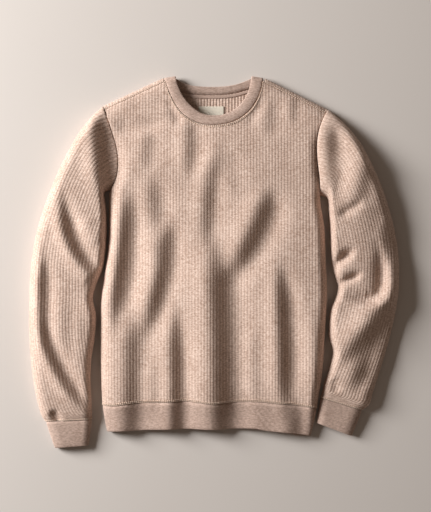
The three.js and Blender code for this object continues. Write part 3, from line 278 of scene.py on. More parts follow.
def fold_height(table, x, y):
    """Height of all folds of a table at x, y.

    Each line is a parabola through its three points. With q the distance to it over its half width,
    it adds lift * exp(-q * q) and, for the drop, half the drop * q * exp(0.5 - 0.5 * q * q) with the
    sign of the side; both fade over the first and last third, where the line also grows narrower.
    """
    total = np.zeros(np.broadcast(x, y).shape)
    t = np.linspace(0.0, 1.0, FOLD_STEPS + 1)
    a, b, c = (1 - t) * (1 - 2 * t), 4 * t * (1 - t), t * (2 * t - 1)
    for x0, y0, x1, y1, x2, y2, width, drop, lift in table:
        px = a * x0 + b * x1 + c * x2
        py = a * y0 + b * y1 + c * y2
        best = np.full(total.shape, 1e9)
        side = np.zeros(total.shape)
        along = np.zeros(total.shape)
        for k in range(FOLD_STEPS):
            dx, dy = px[k + 1] - px[k], py[k + 1] - py[k]
            u = np.clip(((x - px[k]) * dx + (y - py[k]) * dy) / (dx * dx + dy * dy), 0, 1)
            away = np.hypot(x - px[k] - u * dx, y - py[k] - u * dy)
            near = away < best
            best = np.where(near, away, best)
            side = np.where(near, np.sign((y - py[k]) * dx - (x - px[k]) * dy), side)
            along = np.where(near, (k + u) / FOLD_STEPS, along)
        fade = ease(along / 0.33) * ease((1 - along) / 0.33)
        q = best / (width * (0.65 + 0.35 * fade))
        slant = -0.5 * drop * side * q * np.exp(0.5 - 0.5 * q * q)
        total += fade * (lift * np.exp(-q * q) + slant)
    return total


left_edge = through(*columns_of(LEFT_SIDE))
right_edge = through(*columns_of(RIGHT_SIDE))
body_top = through(*columns_of(BODY_TOP))
hem_seam_at = through(*columns_of(HEM_SEAM))
hem_edge_at = through(*columns_of(HEM_EDGE))
neck_front_at = through(*columns_of(NECK_FRONT))
neck_back_at = through(*columns_of(NECK_BACK))


def hem_x(s):
    """Place across the hem at the share s of its width."""
    return mix(-219.0, 203.0, s)


def shoulder_line(x):
    """Height of the folded shoulders at x: a straight slope each side, level across the neck."""
    def slope(arm):
        t = np.clip((x - arm["neck"][0]) / (arm["tip"][0] - arm["neck"][0]), 0.0, 1.2)
        return mix(arm["neck"][1], arm["tip"][1], t)
    return np.where(x < 0, slope(LEFT_ARM), slope(RIGHT_ARM))


def edge_height(y, arm):
    """Height of the armhole seam at y: two quarter circles from underarm and shoulder; the fold's below."""
    outer = quarter((arm["tip"][1] - y) / SHOULDER_RUN)
    inner = quarter((y - arm["underarm"][1]) / UNDERARM_RUN)
    return np.where(y < arm["underarm"][1], FOLD_R, FOLD_R + (SEAM_Z - FOLD_R) * outer * inner)


def body_height(x, y, creased=True):
    """Height of the body's top face: the crown times a quarter-circle rise from each side edge."""
    left, right = left_edge(y), right_edge(y)
    nearer = x - left < right - x
    edge = np.where(nearer, edge_height(y, LEFT_ARM), edge_height(y, RIGHT_ARM))
    underarm = np.where(nearer, LEFT_ARM["underarm"][1], RIGHT_ARM["underarm"][1])
    crown = quarter((shoulder_line(x) - y) / SHOULDER_RUN)
    folds = fold_height(BODY_FOLDS, x, y) if creased else 0.0
    inside = FOLD_R + (body_top(y) + folds - FOLD_R) * crown
    blunt = mix(0.5, 1.0, ease((y - underarm) / 45.0))
    rise = (1 - (1 - np.clip((x - left) / SIDE_RUN, 0, 1)) ** 2) ** blunt
    fall = (1 - (1 - np.clip((right - x) / RIGHT_RUN, 0, 1)) ** 2) ** blunt
    return edge + (inside - edge) * rise * fall


def seam_turn(y, arm):
    """How far the side seam has gone round the fold at y: a quarter turn, eased to none at the underarm."""
    return (math.pi / 2) * (1 - ease((y - arm["underarm"][1] + CLIMB) / CLIMB))


class Section:
    """Cloth lengths across the body's top, read from a table of sections at many heights y.

    The cloth coordinate c is the length along the section without its creases, nought over the
    middle line of the garment; past the side fold it runs on round the fold's radius.
    """

    def __init__(self):
        self.y = np.linspace(-350.0, 365.0, 260)
        self.c = np.arange(-300.0, 300.5, 1.0)
        k = np.arange(97) / 96.0
        left, right = left_edge(self.y), right_edge(self.y)
        x = mix(left[:, None], right[:, None], (1 - np.cos(math.pi * k)) / 2)
        z = body_height(x, self.y[:, None], creased=False)
        run = np.zeros(x.shape)
        run[:, 1:] = np.cumsum(np.hypot(np.diff(x, axis=1), np.diff(z, axis=1)), axis=1)
        middle = np.array([np.interp(0.0, a, b) for a, b in zip(x, run)])
        self.low = -middle
        self.high = run[:, -1] - middle
        self.x = np.array([np.interp(self.c + m, b, a) for a, b, m in zip(x, run, middle)])

    def extent(self, y):
        """Cloth coordinates of the left and right folds at y."""
        return np.interp(y, self.y, self.low), np.interp(y, self.y, self.high)

    def across(self, y, c):
        """Place x of the cloth coordinate c at y, mixed from the four nearest table entries."""
        j = np.clip((y - self.y[0]) / (self.y[1] - self.y[0]), 0, len(self.y) - 1.001)
        i = np.clip(c - self.c[0], 0, len(self.c) - 1.001)
        j0, i0 = j.astype(int), i.astype(int)
        fj, fi = j - j0, i - i0
        below = mix(self.x[j0, i0], self.x[j0, i0 + 1], fi)
        above = mix(self.x[j0 + 1, i0], self.x[j0 + 1, i0 + 1], fi)
        return mix(below, above, fj)

    def place(self, y, c, low, high):
        """Points of the body's top at y and c; past the folds low and high they follow the fold's arc."""
        inside = np.clip(c, low, high)
        left, right = left_edge(y), right_edge(y)
        x = np.clip(self.across(y, inside), left, right)
        z = body_height(x, y)
        for edge, side, past in ((left, -1, low - c), (right, 1, c - high)):
            turn = np.maximum(past, 0) / FOLD_R
            x = np.where(turn > 0, edge - side * FOLD_R * (1 - np.cos(turn)), x)
            z = np.where(turn > 0, FOLD_R * (1 - np.sin(turn)), z)
        return np.stack([x, y, z], axis=-1)


section = Section()


def rib_profile(c, pitch):
    """Height share of a rounded rib across c: 1 - |2p - 1| to the power 2.5, p the place within the rib."""
    return 1 - np.abs(2 * np.mod(c / pitch, 1.0) - 1) ** 2.5


def grid_faces(rows, columns, wrap_rows=False, wrap_columns=False):
    """Two triangles for each cell of a grid whose points are numbered row by row."""
    j = np.arange(rows if wrap_rows else rows - 1)
    i = np.arange(columns if wrap_columns else columns - 1)
    j, i = np.meshgrid(j, i, indexing="ij")
    j2, i2 = (j + 1) % rows, (i + 1) % columns
    a, b = (j * columns + i).ravel(), (j * columns + i2).ravel()
    c, d = (j2 * columns + i2).ravel(), (j2 * columns + i).ravel()
    return np.concatenate([np.stack([a, b, c], 1), np.stack([a, c, d], 1)])


def weld(points, faces):
    """Joins points that lie together, to a thousandth of a millimetre, and drops faces with no area."""
    keys = np.round(points, 3)
    _, first, number = np.unique(keys, axis=0, return_index=True, return_inverse=True)
    number = number.reshape(-1)
    joined = number[faces]
    kept = (joined[:, 0] != joined[:, 1]) & (joined[:, 1] != joined[:, 2]) & (joined[:, 0] != joined[:, 2])
    return points[first], first, joined[kept], faces[kept]


def point_normals(points, faces):
    """Outward direction at each point: the sum of its faces' cross products, made one long."""
    a, b, c = points[faces[:, 0]], points[faces[:, 1]], points[faces[:, 2]]
    cross = np.cross(b - a, c - a)
    total = np.zeros(points.shape)
    for k in range(3):
        np.add.at(total, faces[:, k], cross)
    return total / np.maximum(np.linalg.norm(total, axis=1, keepdims=True), 1e-12)


def free_edges(faces):
    """Directed edges of faces that no other face runs back along."""
    edges = np.concatenate([faces[:, [0, 1]], faces[:, [1, 2]], faces[:, [2, 0]]])
    size = faces.max() + 1
    forward = edges[:, 0] * size + edges[:, 1]
    backward = edges[:, 1] * size + edges[:, 0]
    return edges[~np.isin(forward, backward)]


def put_mesh(name, points, faces, cloth, material):
    """Mesh object from arrays: points in millimetres, triangles, and cloth coordinates of each corner."""
    mesh = bpy.data.meshes.new(name)
    mesh.vertices.add(len(points))
    mesh.vertices.foreach_set("co", (points * MM).astype(np.float32).ravel())
    mesh.loops.add(faces.size)
    mesh.loops.foreach_set("vertex_index", faces.astype(np.int32).ravel())
    mesh.polygons.add(len(faces))
    mesh.polygons.foreach_set("loop_start", np.arange(0, faces.size, 3, dtype=np.int32))
    mesh.polygons.foreach_set("use_smooth", np.ones(len(faces), bool))
    layer = mesh.uv_layers.new(name="cloth")
    layer.data.foreach_set("uv", (cloth * MM).astype(np.float32).ravel())
    mesh.update(calc_edges=True)
    mesh.validate()
    mesh.materials.append(material)
    piece = bpy.data.objects.new(name, mesh)
    scene.collection.objects.link(piece)
    return piece


def shell(name, points, faces, cloth, rise, wall, material, rise_under=None):
    """Closed thin shell: outer points moved out by rise, inner points in by wall, rims between them.

    points are grid points with their cloth coordinates; those that coincide are welded first.
    """
    spots, first, joined, corners = weld(points, faces)
    normals = point_normals(spots, joined)
    out = spots + normals * rise[first][:, None]
    depth = np.full(len(spots), float(wall))
    if rise_under is not None:
        depth = depth + rise_under[first]
    back = spots - normals * depth[:, None]
    count = len(spots)
    rim = free_edges(joined)
    a, b = rim[:, 0], rim[:, 1]
    solid = np.concatenate([
        joined, joined[:, ::-1] + count,
        np.stack([b, a, a + count], 1), np.stack([b, a + count, b + count], 1),
    ])
    spot_cloth = cloth[first]
    uv = np.concatenate([
        cloth[corners], cloth[corners[:, ::-1]],
        spot_cloth[np.stack([b, a, a], 1)], spot_cloth[np.stack([b, a, b], 1)],
    ])
    return put_mesh(name, np.concatenate([out, back]), solid, uv, material)


# Shader nodes written as sums
class Number:
    """A number socket; arithmetic on it adds Math nodes to its tree."""

    def __init__(self, shade, socket):
        self.shade = shade
        self.socket = socket

    def math(self, operation, *others):
        values = {k: v for k, v in enumerate((self, *others))}
        made = self.shade.node("ShaderNodeMath", {"operation": operation}, values)
        return Number(self.shade, made.outputs[0])

    def __add__(self, other):
        return self.math("ADD", other)

    def __sub__(self, other):
        return self.math("SUBTRACT", other)

    def __rsub__(self, other):
        return (self * -1.0).math("ADD", other)

    def __mul__(self, other):
        return self.math("MULTIPLY", other)

    def __truediv__(self, other):
        return self.math("DIVIDE", other)

    def __pow__(self, other):
        return self.math("POWER", other)

    def __abs__(self):
        return self.math("ABSOLUTE")

    def part(self):
        return self.math("FRACT")

    def wave(self):
        return self.math("SINE")

    def between(self, low, high):
        return self.math("MAXIMUM", low).math("MINIMUM", high)


class Shade:
    """One material: its Principled shader, and a method that adds any other node."""

    def __init__(self, name, roughness, sheen=0.0):
        self.material = bpy.data.materials.new(name)
        self.material.use_nodes = True
        self.tree = self.material.node_tree
        self.shader = self.tree.nodes["Principled BSDF"]
        for key, value in (("Roughness", roughness), ("Sheen Weight", sheen),
                           ("Sheen Roughness", 0.6), ("Specular IOR Level", 0.25)):
            self.shader.inputs[key].default_value = value

    def node(self, kind, settings=None, values=None):
        made = self.tree.nodes.new(kind)
        for key, value in (settings or {}).items():
            setattr(made, key, value)
        for key, value in (values or {}).items():
            if isinstance(value, Number):
                value = value.socket
            if isinstance(value, bpy.types.NodeSocket):
                self.tree.links.new(value, made.inputs[key])
            else:
                made.inputs[key].default_value = value
        return made

    def cloth(self):
        """Cloth coordinates across and along, in metres."""
        uv = self.node("ShaderNodeUVMap", {"uv_map": "cloth"})
        split = self.node("ShaderNodeSeparateXYZ", {}, {0: uv.outputs[0]})
        return Number(self, split.outputs[0]), Number(self, split.outputs[1])

    def noise(self, scale, detail=2.0, stretch=None):
        """Noise about 0.5 over the object's coordinates, which can be stretched."""
        at = self.node("ShaderNodeTexCoord").outputs["Object"]
        if stretch:
            at = self.node("ShaderNodeMapping", {}, {"Vector": at, "Scale": stretch}).outputs[0]
        values = {"Vector": at, "Scale": scale, "Detail": detail, "Roughness": 0.6}
        return Number(self, self.node("ShaderNodeTexNoise", {}, values).outputs[0])

    def blend(self, factor, low, high):
        """Colour between low and high by factor."""
        values = {0: factor, 6: low, 7: high}
        made = self.node("ShaderNodeMix", {"data_type": "RGBA"}, values)
        return made.outputs[2]

    def finish(self, colour, height=None, distance=0.001, strength=1.0):
        self.tree.links.new(colour, self.shader.inputs["Base Color"])
        if height is not None:
            values = {"Height": height, "Distance": distance, "Strength": strength}
            bump = self.node("ShaderNodeBump", {}, values)
            self.tree.links.new(bump.outputs[0], self.shader.inputs["Normal"])
        return self.material


def linear(red, green, blue):
    """Colour given as on screen, 0 to 255, as shader values."""
    def one(value):
        value = value / 255
        return value / 12.92 if value <= 0.04045 else ((value + 0.055) / 1.055) ** 2.4
    return (one(red), one(green), one(blue), 1.0)


def knit(name, pitch, light, dark, groove_shade_and_fleck, groove_shade_strength):
    """Heathered rib knit: cords light, painted shade darkening the grooves between them, a course of small
    stitches across every cord.
    """
    shade = Shade(name, roughness=0.9, sheen=0.12)
    across, along = shade.cloth()
    cord = (across / (pitch * MM)).part() * 2.0 - 1.0
    valley = abs(cord) ** 6.0
    course = abs(((along + abs(cord) * (pitch * MM * 0.12)) * (math.pi / 0.0017)).wave())
    melange = shade.noise(300.0, 3.0, stretch=(0.6, 1.5, 1.0))
    cloud = shade.noise(24.0, 3.0)
    fleck = shade.noise(1500.0, 1.0)
    share = ((melange - 0.5) * 3.2 + (cloud - 0.5) * 0.8 + 0.5).between(0.0, 1.0)
    yarn = shade.blend(share, linear(*dark), linear(*light))
    # Random dark flecks, in the same colour that paints shade into the grooves
    spotted = shade.blend(((fleck - 0.62) * 6.0).between(0.0, 0.5), yarn, linear(*groove_shade_and_fleck))
    # Painted shade: the grooves between the cords are mixed towards the dark groove colour
    body = shade.blend((valley * groove_shade_strength).between(0.0, 1.0), spotted, linear(*groove_shade_and_fleck))
    height = (1.0 - valley) * 0.35 + course * 0.4 + fleck * 0.5
    return shade.finish(body, height, distance=0.0006, strength=0.8)


def plain_weave(name, light, dark, pitch):
    """Woven tape or label: fine over-and-under threads both ways."""
    shade = Shade(name, roughness=0.8)
    across, along = shade.cloth()
    threads = abs((across * (math.pi / pitch)).wave()) * abs((along * (math.pi / pitch)).wave())
    grain = shade.noise(500.0, 2.0)
    colour = shade.blend((threads * 0.6 + grain * 0.4).between(0.0, 1.0), linear(*dark), linear(*light))
    return shade.finish(colour, threads + grain * 0.4, distance=0.0004, strength=0.6)


def floor_finish():
    """Pale matt floor, very slightly mottled."""
    shade = Shade("pale_floor", roughness=0.85)
    colour = shade.blend(shade.noise(1.6, 2.0), linear(217, 210, 204), linear(222, 216, 211))
    return shade.finish(colour)


# Third colour and last number: colour and strength of the painted shade in the rib grooves; the random
# flecks take that colour too
rib_knit = knit("rib_knit_fabric", RIB, (239, 214, 199), (190, 161, 144), (152, 120, 102), 0.45)
band_knit = knit("band_knit_fabric", FINE_RIB, (224, 198, 184), (182, 155, 140), (136, 110, 96), 0.6)
tape_weave = plain_weave("neck_tape_weave", (214, 190, 176), (180, 152, 138), 0.0009)
label_weave = plain_weave("label_weave", (253, 247, 232), (236, 226, 208), 0.0006)
thread = plain_weave("sewing_thread", (252, 232, 214), (226, 202, 184), 0.0005)


# Front panel
FRONT_ROWS = 112


def front_top(x):
    """Upper edge of the front: the neckline, or the seam just below the folded shoulder."""
    lap = shoulder_line(x) - SHOULDER_LAP
    inside = (x > NECK_FRONT[0][0]) & (x < NECK_FRONT[-1][0])
    return np.where(inside, np.minimum(neck_front_at(x), lap), lap)


def front_extent(y):
    """Cloth coordinates of the front's two side seams at y, with the folds' own."""
    low, high = section.extent(y)
    return low - FOLD_R * seam_turn(y, LEFT_ARM), high + FOLD_R * seam_turn(y, RIGHT_ARM), low, high


def front_place(level, c):
    """Points of the front at a level from hem seam to top and a cloth coordinate held inside the seams."""
    y = mix(HEM_LEVEL, FRONT_TOP, level)
    for _ in range(8):
        start, end, low, high = front_extent(y)
        held = np.clip(c, start, end)
        share = (held - start) / (end - start)
        x = section.across(y, np.clip(held, low, high))
        target = mix(hem_seam_at(hem_x(share)) + GAP / 2, front_top(x) - GAP / 2, level)
        y = mix(y, target, 0.8)
    start, end, low, high = front_extent(y)
    held = np.clip(c, start, end)
    points = section.place(y, held, low, high)
    above = ease((y - 125.0) / 10.0)
    points[..., 0] = np.clip(points[..., 0], left_edge(y) + above * GAP / 2, right_edge(y) - above * GAP / 2)
    return points, held, np.minimum(held - start, end - held)


def make_front():
    """Front panel: columns at fixed cloth coordinates, so that its ribs keep their width."""
    level = np.linspace(0.0, 1.0, FRONT_ROWS)[:, None]
    c = np.arange(-250.0, 250.1, RIB / RIB_COLUMNS)[None, :]
    level, c = np.broadcast_arrays(level, c)
    points, held, inset = front_place(level, c)
    reach = np.minimum(level * PANEL_LENGTH, (1 - level) * PANEL_LENGTH)
    dip = ease(np.minimum(inset, reach) / EDGE_DIP + 0.15)
    rise = RIB_RISE * rib_profile(held, RIB) * dip * ease(points[..., 2] / RIB_START)
    cloth = np.stack([held, points[..., 1]], axis=-1)
    faces = grid_faces(*level.shape)
    return points, shell("front_panel_knit", points.reshape(-1, 3), faces, cloth.reshape(-1, 2),
                         rise.ravel(), WALL, rib_knit)


# Back panel
PLATE_ROWS = 62
SHOULDER_ANGLES = np.radians([15, 30, 45, 60, 75, 90])
LAP_STEPS = np.array([1.2, 2.4, 3.6, 4.8, SHOULDER_LAP - GAP / 2])
NECK_HALF = 98.4


def under_height(y, arm):
    """Radius left of the fold just above the underarm: a quarter circle down to nought."""
    return FOLD_R * (1 - quarter((y - arm["underarm"][1]) / FOLD_R))


def plate_edge(y, arm):
    """Edge of the flat part of the back at y, a fold's radius inside the side below the underarm."""
    below = y < arm["underarm"][1]
    inset = np.where(below, FOLD_R, under_height(y, arm))
    gap = np.where(y < arm["underarm"][1] - CLIMB, GAP, GAP / 2)
    edge = left_edge(y) if arm is LEFT_ARM else right_edge(y)
    return edge - arm["side"] * (inset + gap)


def wrap_turn(y, arm):
    """Angle that the back goes round the underarm fold at y: what the side seam leaves of a quarter turn."""
    near = (y > arm["underarm"][1] - CLIMB) & (y < arm["underarm"][1] + FOLD_R)
    return np.where(near, math.pi / 2 - seam_turn(y, arm) * (y < arm["underarm"][1]), 0.0)


def wrap_radius(y, arm):
    """Radius of the fold that the back goes round at y."""
    return np.where(y < arm["underarm"][1], FOLD_R, under_height(y, arm))


def at_armhole(arm, below):
    """Where the line a distance below the folded shoulder meets the armhole seam."""
    edge = left_edge if arm is LEFT_ARM else right_edge
    x = np.full(np.shape(below), float(arm["tip"][0]))
    for _ in range(30):
        y = np.minimum(shoulder_line(x) - below, arm["tip"][1])
        x = mix(x, edge(y) - arm["side"] * GAP * 2.3, 0.5)
    return x


def back_plate(level, c):
    """Flat part of the back with its wraps round both underarms: c past the plate's edge turns up."""
    y = mix(HEM_LEVEL, BACK_TOP, level)
    for _ in range(10):
        edges = [plate_edge(y, LEFT_ARM), plate_edge(y, RIGHT_ARM)]
        reach = [wrap_radius(y, arm) * wrap_turn(y, arm) for arm in (LEFT_ARM, RIGHT_ARM)]
        held = np.clip(c, edges[0] - reach[0], edges[1] + reach[1])
        x = np.clip(held, edges[0], edges[1])
        share = (x - edges[0]) / (edges[1] - edges[0])
        neck = (x > -NECK_HALF) & (x < NECK_HALF)
        top = np.where(neck, np.minimum(neck_back_at(x) - GAP / 2, shoulder_line(x) - FOLD_R),
                       shoulder_line(x) - FOLD_R)
        y = mix(y, mix(hem_seam_at(hem_x(share)) + GAP / 2, top, level), 0.7)
    z = np.zeros(y.shape)
    for arm, edge in ((LEFT_ARM, edges[0]), (RIGHT_ARM, edges[1])):
        over = np.maximum((held - edge) * arm["side"], 0.0)
        radius = np.maximum(wrap_radius(y, arm), 0.01)
        angle = over / radius
        x = np.where(over > 0, edge + arm["side"] * radius * np.sin(angle), x)
        z = np.where(over > 0, radius * (1 - np.cos(angle)), z)
    return np.stack([x, y, z], axis=-1), held


def make_back():
    """Back panel: its flat part, then over the folded shoulders and down to the shoulder seams."""
    level = np.concatenate([np.linspace(0, 0.6, 24), np.linspace(0.6, 1.0, PLATE_ROWS - 24 + 1)[1:]])
    c = np.arange(-234.0, 234.1, RIB / RIB_COLUMNS)
    grid_level, grid_c = np.meshgrid(level, c, indexing="ij")
    plate, held = back_plate(grid_level, grid_c)
    top = plate[-1]
    rows = [plate]
    cloths = [np.stack([held, plate[..., 1]], axis=-1)]
    necked = (c > -NECK_HALF) & (c < NECK_HALF)
    belows = np.concatenate([FOLD_R * (1 - np.sin(SHOULDER_ANGLES)), LAP_STEPS])
    run = np.concatenate([SHOULDER_ANGLES * FOLD_R, math.pi / 2 * FOLD_R + LAP_STEPS])
    for k, below in enumerate(belows):
        low, high = at_armhole(LEFT_ARM, below), at_armhole(RIGHT_ARM, below)
        x = np.clip(c, low, high)
        y = shoulder_line(x) - below
        z = FOLD_R * (1 - np.cos(SHOULDER_ANGLES[k])) if k < len(SHOULDER_ANGLES) else body_height(x, y)
        row = np.stack([x, y, np.broadcast_to(z, x.shape)], axis=-1)
        row = np.where(necked[:, None], top, row)
        rows.append(row[None])
        onward = np.where(necked, top[:, 1], top[:, 1] + run[k])
        cloths.append(np.stack([np.where(necked, c, x), onward], axis=-1)[None])
    points = np.concatenate(rows)
    cloth = np.concatenate(cloths)
    # The wall lies on the floor, its ribs stand up on the inside; on the shoulders they stand outside
    shape = points.shape[:2]
    folded = np.arange(shape[0])[:, None] >= len(level)
    profile = rib_profile(cloth[..., 0], RIB)
    inner = profile * ~folded - 0.5
    outer = RIB_RISE * 0.8 * profile * folded * ease((shape[0] - 1 - np.arange(shape[0]))[:, None] / 2.0)
    faces = grid_faces(*shape)[:, ::-1]
    return shell("back_panel_knit", points.reshape(-1, 3), faces, cloth.reshape(-1, 2),
                 np.broadcast_to(outer, shape).ravel(), WALL, rib_knit, inner.ravel())


# Sleeves
SLEEVE_ROWS = 118
# Rows of the table over which the underarm's wide rise ends, and the most of a section that a rise takes
UNDERARM_ROWS = 5.0
RISE_SHARE = 0.4


def tube_reader(rows):
    """Smooth readers of a tube table's five columns by the row number."""
    table = np.array(rows, float)
    at = np.arange(len(rows))
    return [through(at, table[:, k]) for k in range(5)]


def tube_section(reader, k, radius, shift=None, inner_run=INNER_RUN):
    """Frame of a tube's section at the row number k.

    The section lies on the floor between its outer and inner edge points, with quarter rounds of the
    radius at both; its top is radius + (top - radius) * quarter(d / run) * quarter((width - d) / run).
    """
    ox, oy, ix, iy, top = [float(read(k)) for read in reader]
    width = math.hypot(ix - ox, iy - oy)
    reach = ((ix - ox) / width, (iy - oy) / width)
    return {"outer": (ox, oy), "reach": reach, "width": width, "top": top, "radius": radius, "shift": shift,
            "inner_run": min(inner_run, width * RISE_SHARE)}


def tube_arch(cut, d):
    """Share of the full top height at the distance d from the outer edge."""
    outer_run = min(OUTER_RUN, cut["width"] * RISE_SHARE)
    return quarter(d / outer_run) * quarter((cut["width"] - d) / cut["inner_run"])


def tube_flat(cut, d):
    """Level place x, y of the distance d along a section."""
    x = cut["outer"][0] + cut["reach"][0] * d
    y = cut["outer"][1] + cut["reach"][1] * d
    if cut["shift"]:
        x = x + cut["shift"](d / cut["width"])
    return x, y


TOP_SAMPLES = (1 - np.cos(np.pi * np.arange(81) / 80)) / 2


def tube_lengths(cut):
    """Cloth lengths of a section: along its top from the outer edge, and of the whole underside."""
    d = TOP_SAMPLES * cut["width"]
    z = cut["radius"] + (cut["top"] - cut["radius"]) * tube_arch(cut, d)
    run = np.concatenate([[0.0], np.cumsum(np.hypot(np.diff(d), np.diff(z)))])
    under = math.pi * cut["radius"] + cut["width"] - 2 * cut["radius"]
    return d, run, under


def tube_points(cut, c, folds):
    """Points of a section at cloth lengths c from the outer edge: over the top, or under it below nought."""
    d, run, under = tube_lengths(cut)
    radius, width = cut["radius"], cut["width"]
    over = np.interp(c, run, d)
    arch = tube_arch(cut, over)
    x, y = tube_flat(cut, over)
    z = radius + (cut["top"] + fold_height(folds, x, y) - radius) * arch
    down = np.maximum(-c, 0.0)
    first = np.minimum(down / radius, math.pi / 2)
    last = np.clip((down - under + math.pi / 2 * radius) / radius, 0.0, math.pi / 2)
    level = np.clip(down - math.pi / 2 * radius, 0.0, width - 2 * radius)
    below = radius * (1 - np.cos(first)) + level + radius * np.sin(last)
    low = radius * (1 - np.sin(first)) + radius * (1 - np.cos(last))
    bx, by = tube_flat(cut, below)
    beneath = c < 0
    return np.stack([np.where(beneath, bx, x), np.where(beneath, by, y), np.where(beneath, low, z)], axis=-1)


def make_sleeve(name, rows, folds, arm):
    """Sleeve as rows of sections; its ribs keep their width and run along the folded outer edge."""
    reader = tube_reader(rows)
    last = len(rows) - 1
    edge = left_edge if arm is LEFT_ARM else right_edge
    side = arm["side"]
    columns = np.arange(-204.0, 228.1, RIB / RIB_COLUMNS)
    share = np.linspace(0.0, 1.0, SLEEVE_ROWS)
    share = mix(share, share ** 1.25, 0.5)
    points, cloths, rises = [], [], []
    along = 0.0
    before = None
    for t in share:
        k = t * last
        fade = max(0.0, 1 - t / 0.16) ** 2

        def shift(q, fade=fade):
            y = mix(arm["tip"][1], arm["underarm"][1], np.clip(q, 0, 1))
            straight = mix(arm["tip"][0], arm["underarm"][0], np.clip(q, 0, 1))
            return fade * (edge(y) - straight) + side * GAP / 2 * (t == 0)
        radius = mix(FOLD_R, CUFF_R, float(ease((t - 0.8) / 0.2)))
        inner_run = mix(UNDERARM_RUN, INNER_RUN, float(ease(k / UNDERARM_ROWS)))
        cut = tube_section(reader, k, radius, shift, inner_run)
        _, run, under = tube_lengths(cut)
        ahead = np.array([float(reader[n](min(k + 0.5, last)) - reader[n](max(k - 0.5, 0))) for n in (0, 1)])
        ahead /= np.linalg.norm(ahead)
        square = abs(ahead[0] * cut["reach"][1] - ahead[1] * cut["reach"][0])
        square = max(square, 0.5)
        held = np.clip(columns, -under * square, run[-1] * square)
        points.append(tube_points(cut, held / square, folds))
        middle = np.array(cut["outer"])
        if before is not None:
            along += float(np.linalg.norm(middle - before))
        before = middle
        cloths.append(np.stack([held, np.full(len(held), along)], axis=-1))
        inset = np.minimum(held + under * square, run[-1] * square - held)
        dip = ease(inset / EDGE_DIP + 0.1) * ease(min(t, 1 - t) * SLEEVE_LENGTH / EDGE_DIP + 0.15)
        rises.append(RIB_RISE * rib_profile(held, RIB) * dip * ease(points[-1][:, 2] / RIB_START))
    points = np.array(points)
    faces = grid_faces(SLEEVE_ROWS, len(columns))
    if side < 0:
        faces = faces[:, ::-1]
    return points, shell(name, points.reshape(-1, 3), faces, np.array(cloths).reshape(-1, 2),
                         np.array(rises).ravel(), WALL, rib_knit)


# Fine rib bands: collar, hem and cuffs
EDGE_TURNS = np.radians([30, 60, 90, 120, 150])


def make_band(name, outer, share, width, edge, start, out):
    """Closed ring of doubled fine rib: outer face, rounded free edge, inner face back to the seam.

    outer holds rows of points from the seam to the free edge, closed round, share how far down the
    band's width each row is. Ribs grow over the share edge and over the height start. Normals come
    from the grid; the free edge is a half circle of half the wall, just inside the last row.
    """
    rows, count = outer.shape[:2]
    across = np.arange(count) * FINE_RIB / FINE_COLUMNS
    cloth = np.stack(np.meshgrid(across, share * width, indexing="xy"), axis=-1)
    ends = ease(share / edge + 0.1)[:, None]
    rise = FINE_RISE * rib_profile(across, FINE_RIB)[None, :] * ends * ease(outer[..., 2] / start)
    around = np.roll(outer, -1, axis=1) - np.roll(outer, 1, axis=1)
    onward = np.gradient(outer, axis=0)
    normal = unit(np.cross(around, onward) * out)
    ahead = unit(onward[-1])
    half = BAND_WALL / 2
    tip = outer[-1] - ahead * half
    faces_out = outer.copy()
    faces_out[-1] = tip
    front = faces_out + normal * rise[..., None]
    centre = tip - normal[-1] * half
    radius = half + rise[-1][:, None] * 0.5
    turns = [centre + normal[-1] * radius * math.cos(a) + ahead * radius * math.sin(a) for a in EDGE_TURNS]
    inner = (faces_out - normal * BAND_WALL)[::-1]
    inner = inner[[0, rows // 2, rows - 1]]
    points = np.concatenate([front, np.array(turns), inner])
    reach = np.concatenate([cloth[..., 1], cloth[-1, :, 1] + np.outer(EDGE_TURNS, np.full(count, half)),
                            cloth[[rows - 1, rows // 2, 0], :, 1]])
    across = np.broadcast_to(cloth[0, :, 0], reach.shape)
    total = len(points)
    # One more column repeats the first, so that the cloth coordinate doesn't run back
    points = np.concatenate([points, points[:, :1]], axis=1)
    step = across[:, 1:2] - across[:, :1]
    across = np.concatenate([across, across[:, -1:] + step], axis=1)
    reach = np.concatenate([reach, reach[:, :1]], axis=1)
    faces = grid_faces(total, count + 1, wrap_rows=True)
    if out < 0:
        faces = faces[:, ::-1]
    coords = np.stack([across, reach], axis=-1).reshape(-1, 2)
    spots, _, joined, corners = weld(points.reshape(-1, 3), faces)
    return put_mesh(name, spots, joined, coords[corners], band_knit)


# Width of the hem's underside between its folded sides
HEM_UNDER = 404.0


def hem_grid(rows, share):
    """Shares across the hem band and places y, at rows from its seam to its free edge."""
    level, s = np.meshgrid(rows, share, indexing="ij")
    return s, mix(hem_seam_at(hem_x(s)) - GAP, hem_edge_at(hem_x(s)), level)


def make_hem():
    """Hem band: whole fine ribs over the top and both folded sides, then along the underside."""
    rows = np.linspace(0.0, 1.0, 9)
    low, high = section.extent(np.array([HEM_LEVEL - FOLD_R]))
    top = float((high - low)[0]) + math.pi * FOLD_R
    over = int(round(top / FINE_RIB)) * FINE_COLUMNS
    below = int(round(HEM_UNDER / FINE_RIB)) * FINE_COLUMNS
    share = np.arange(over) / over
    s, y = hem_grid(rows, share)
    low, high = section.extent(y)
    quarter_round = math.pi / 2 * FOLD_R
    c = mix(low - quarter_round, high + quarter_round, s)
    upper = section.place(y, c, low, high)
    s, y = hem_grid(rows, 1 - np.arange(below) / below)
    x = mix(left_edge(y) + FOLD_R, right_edge(y) - FOLD_R, s)
    lower = np.stack([x, y, np.zeros(x.shape)], axis=-1)
    outer = np.concatenate([upper, lower], axis=1)
    return make_band("hem_band_knit", outer, rows, 52.0, 0.08, FINE_START, -1)


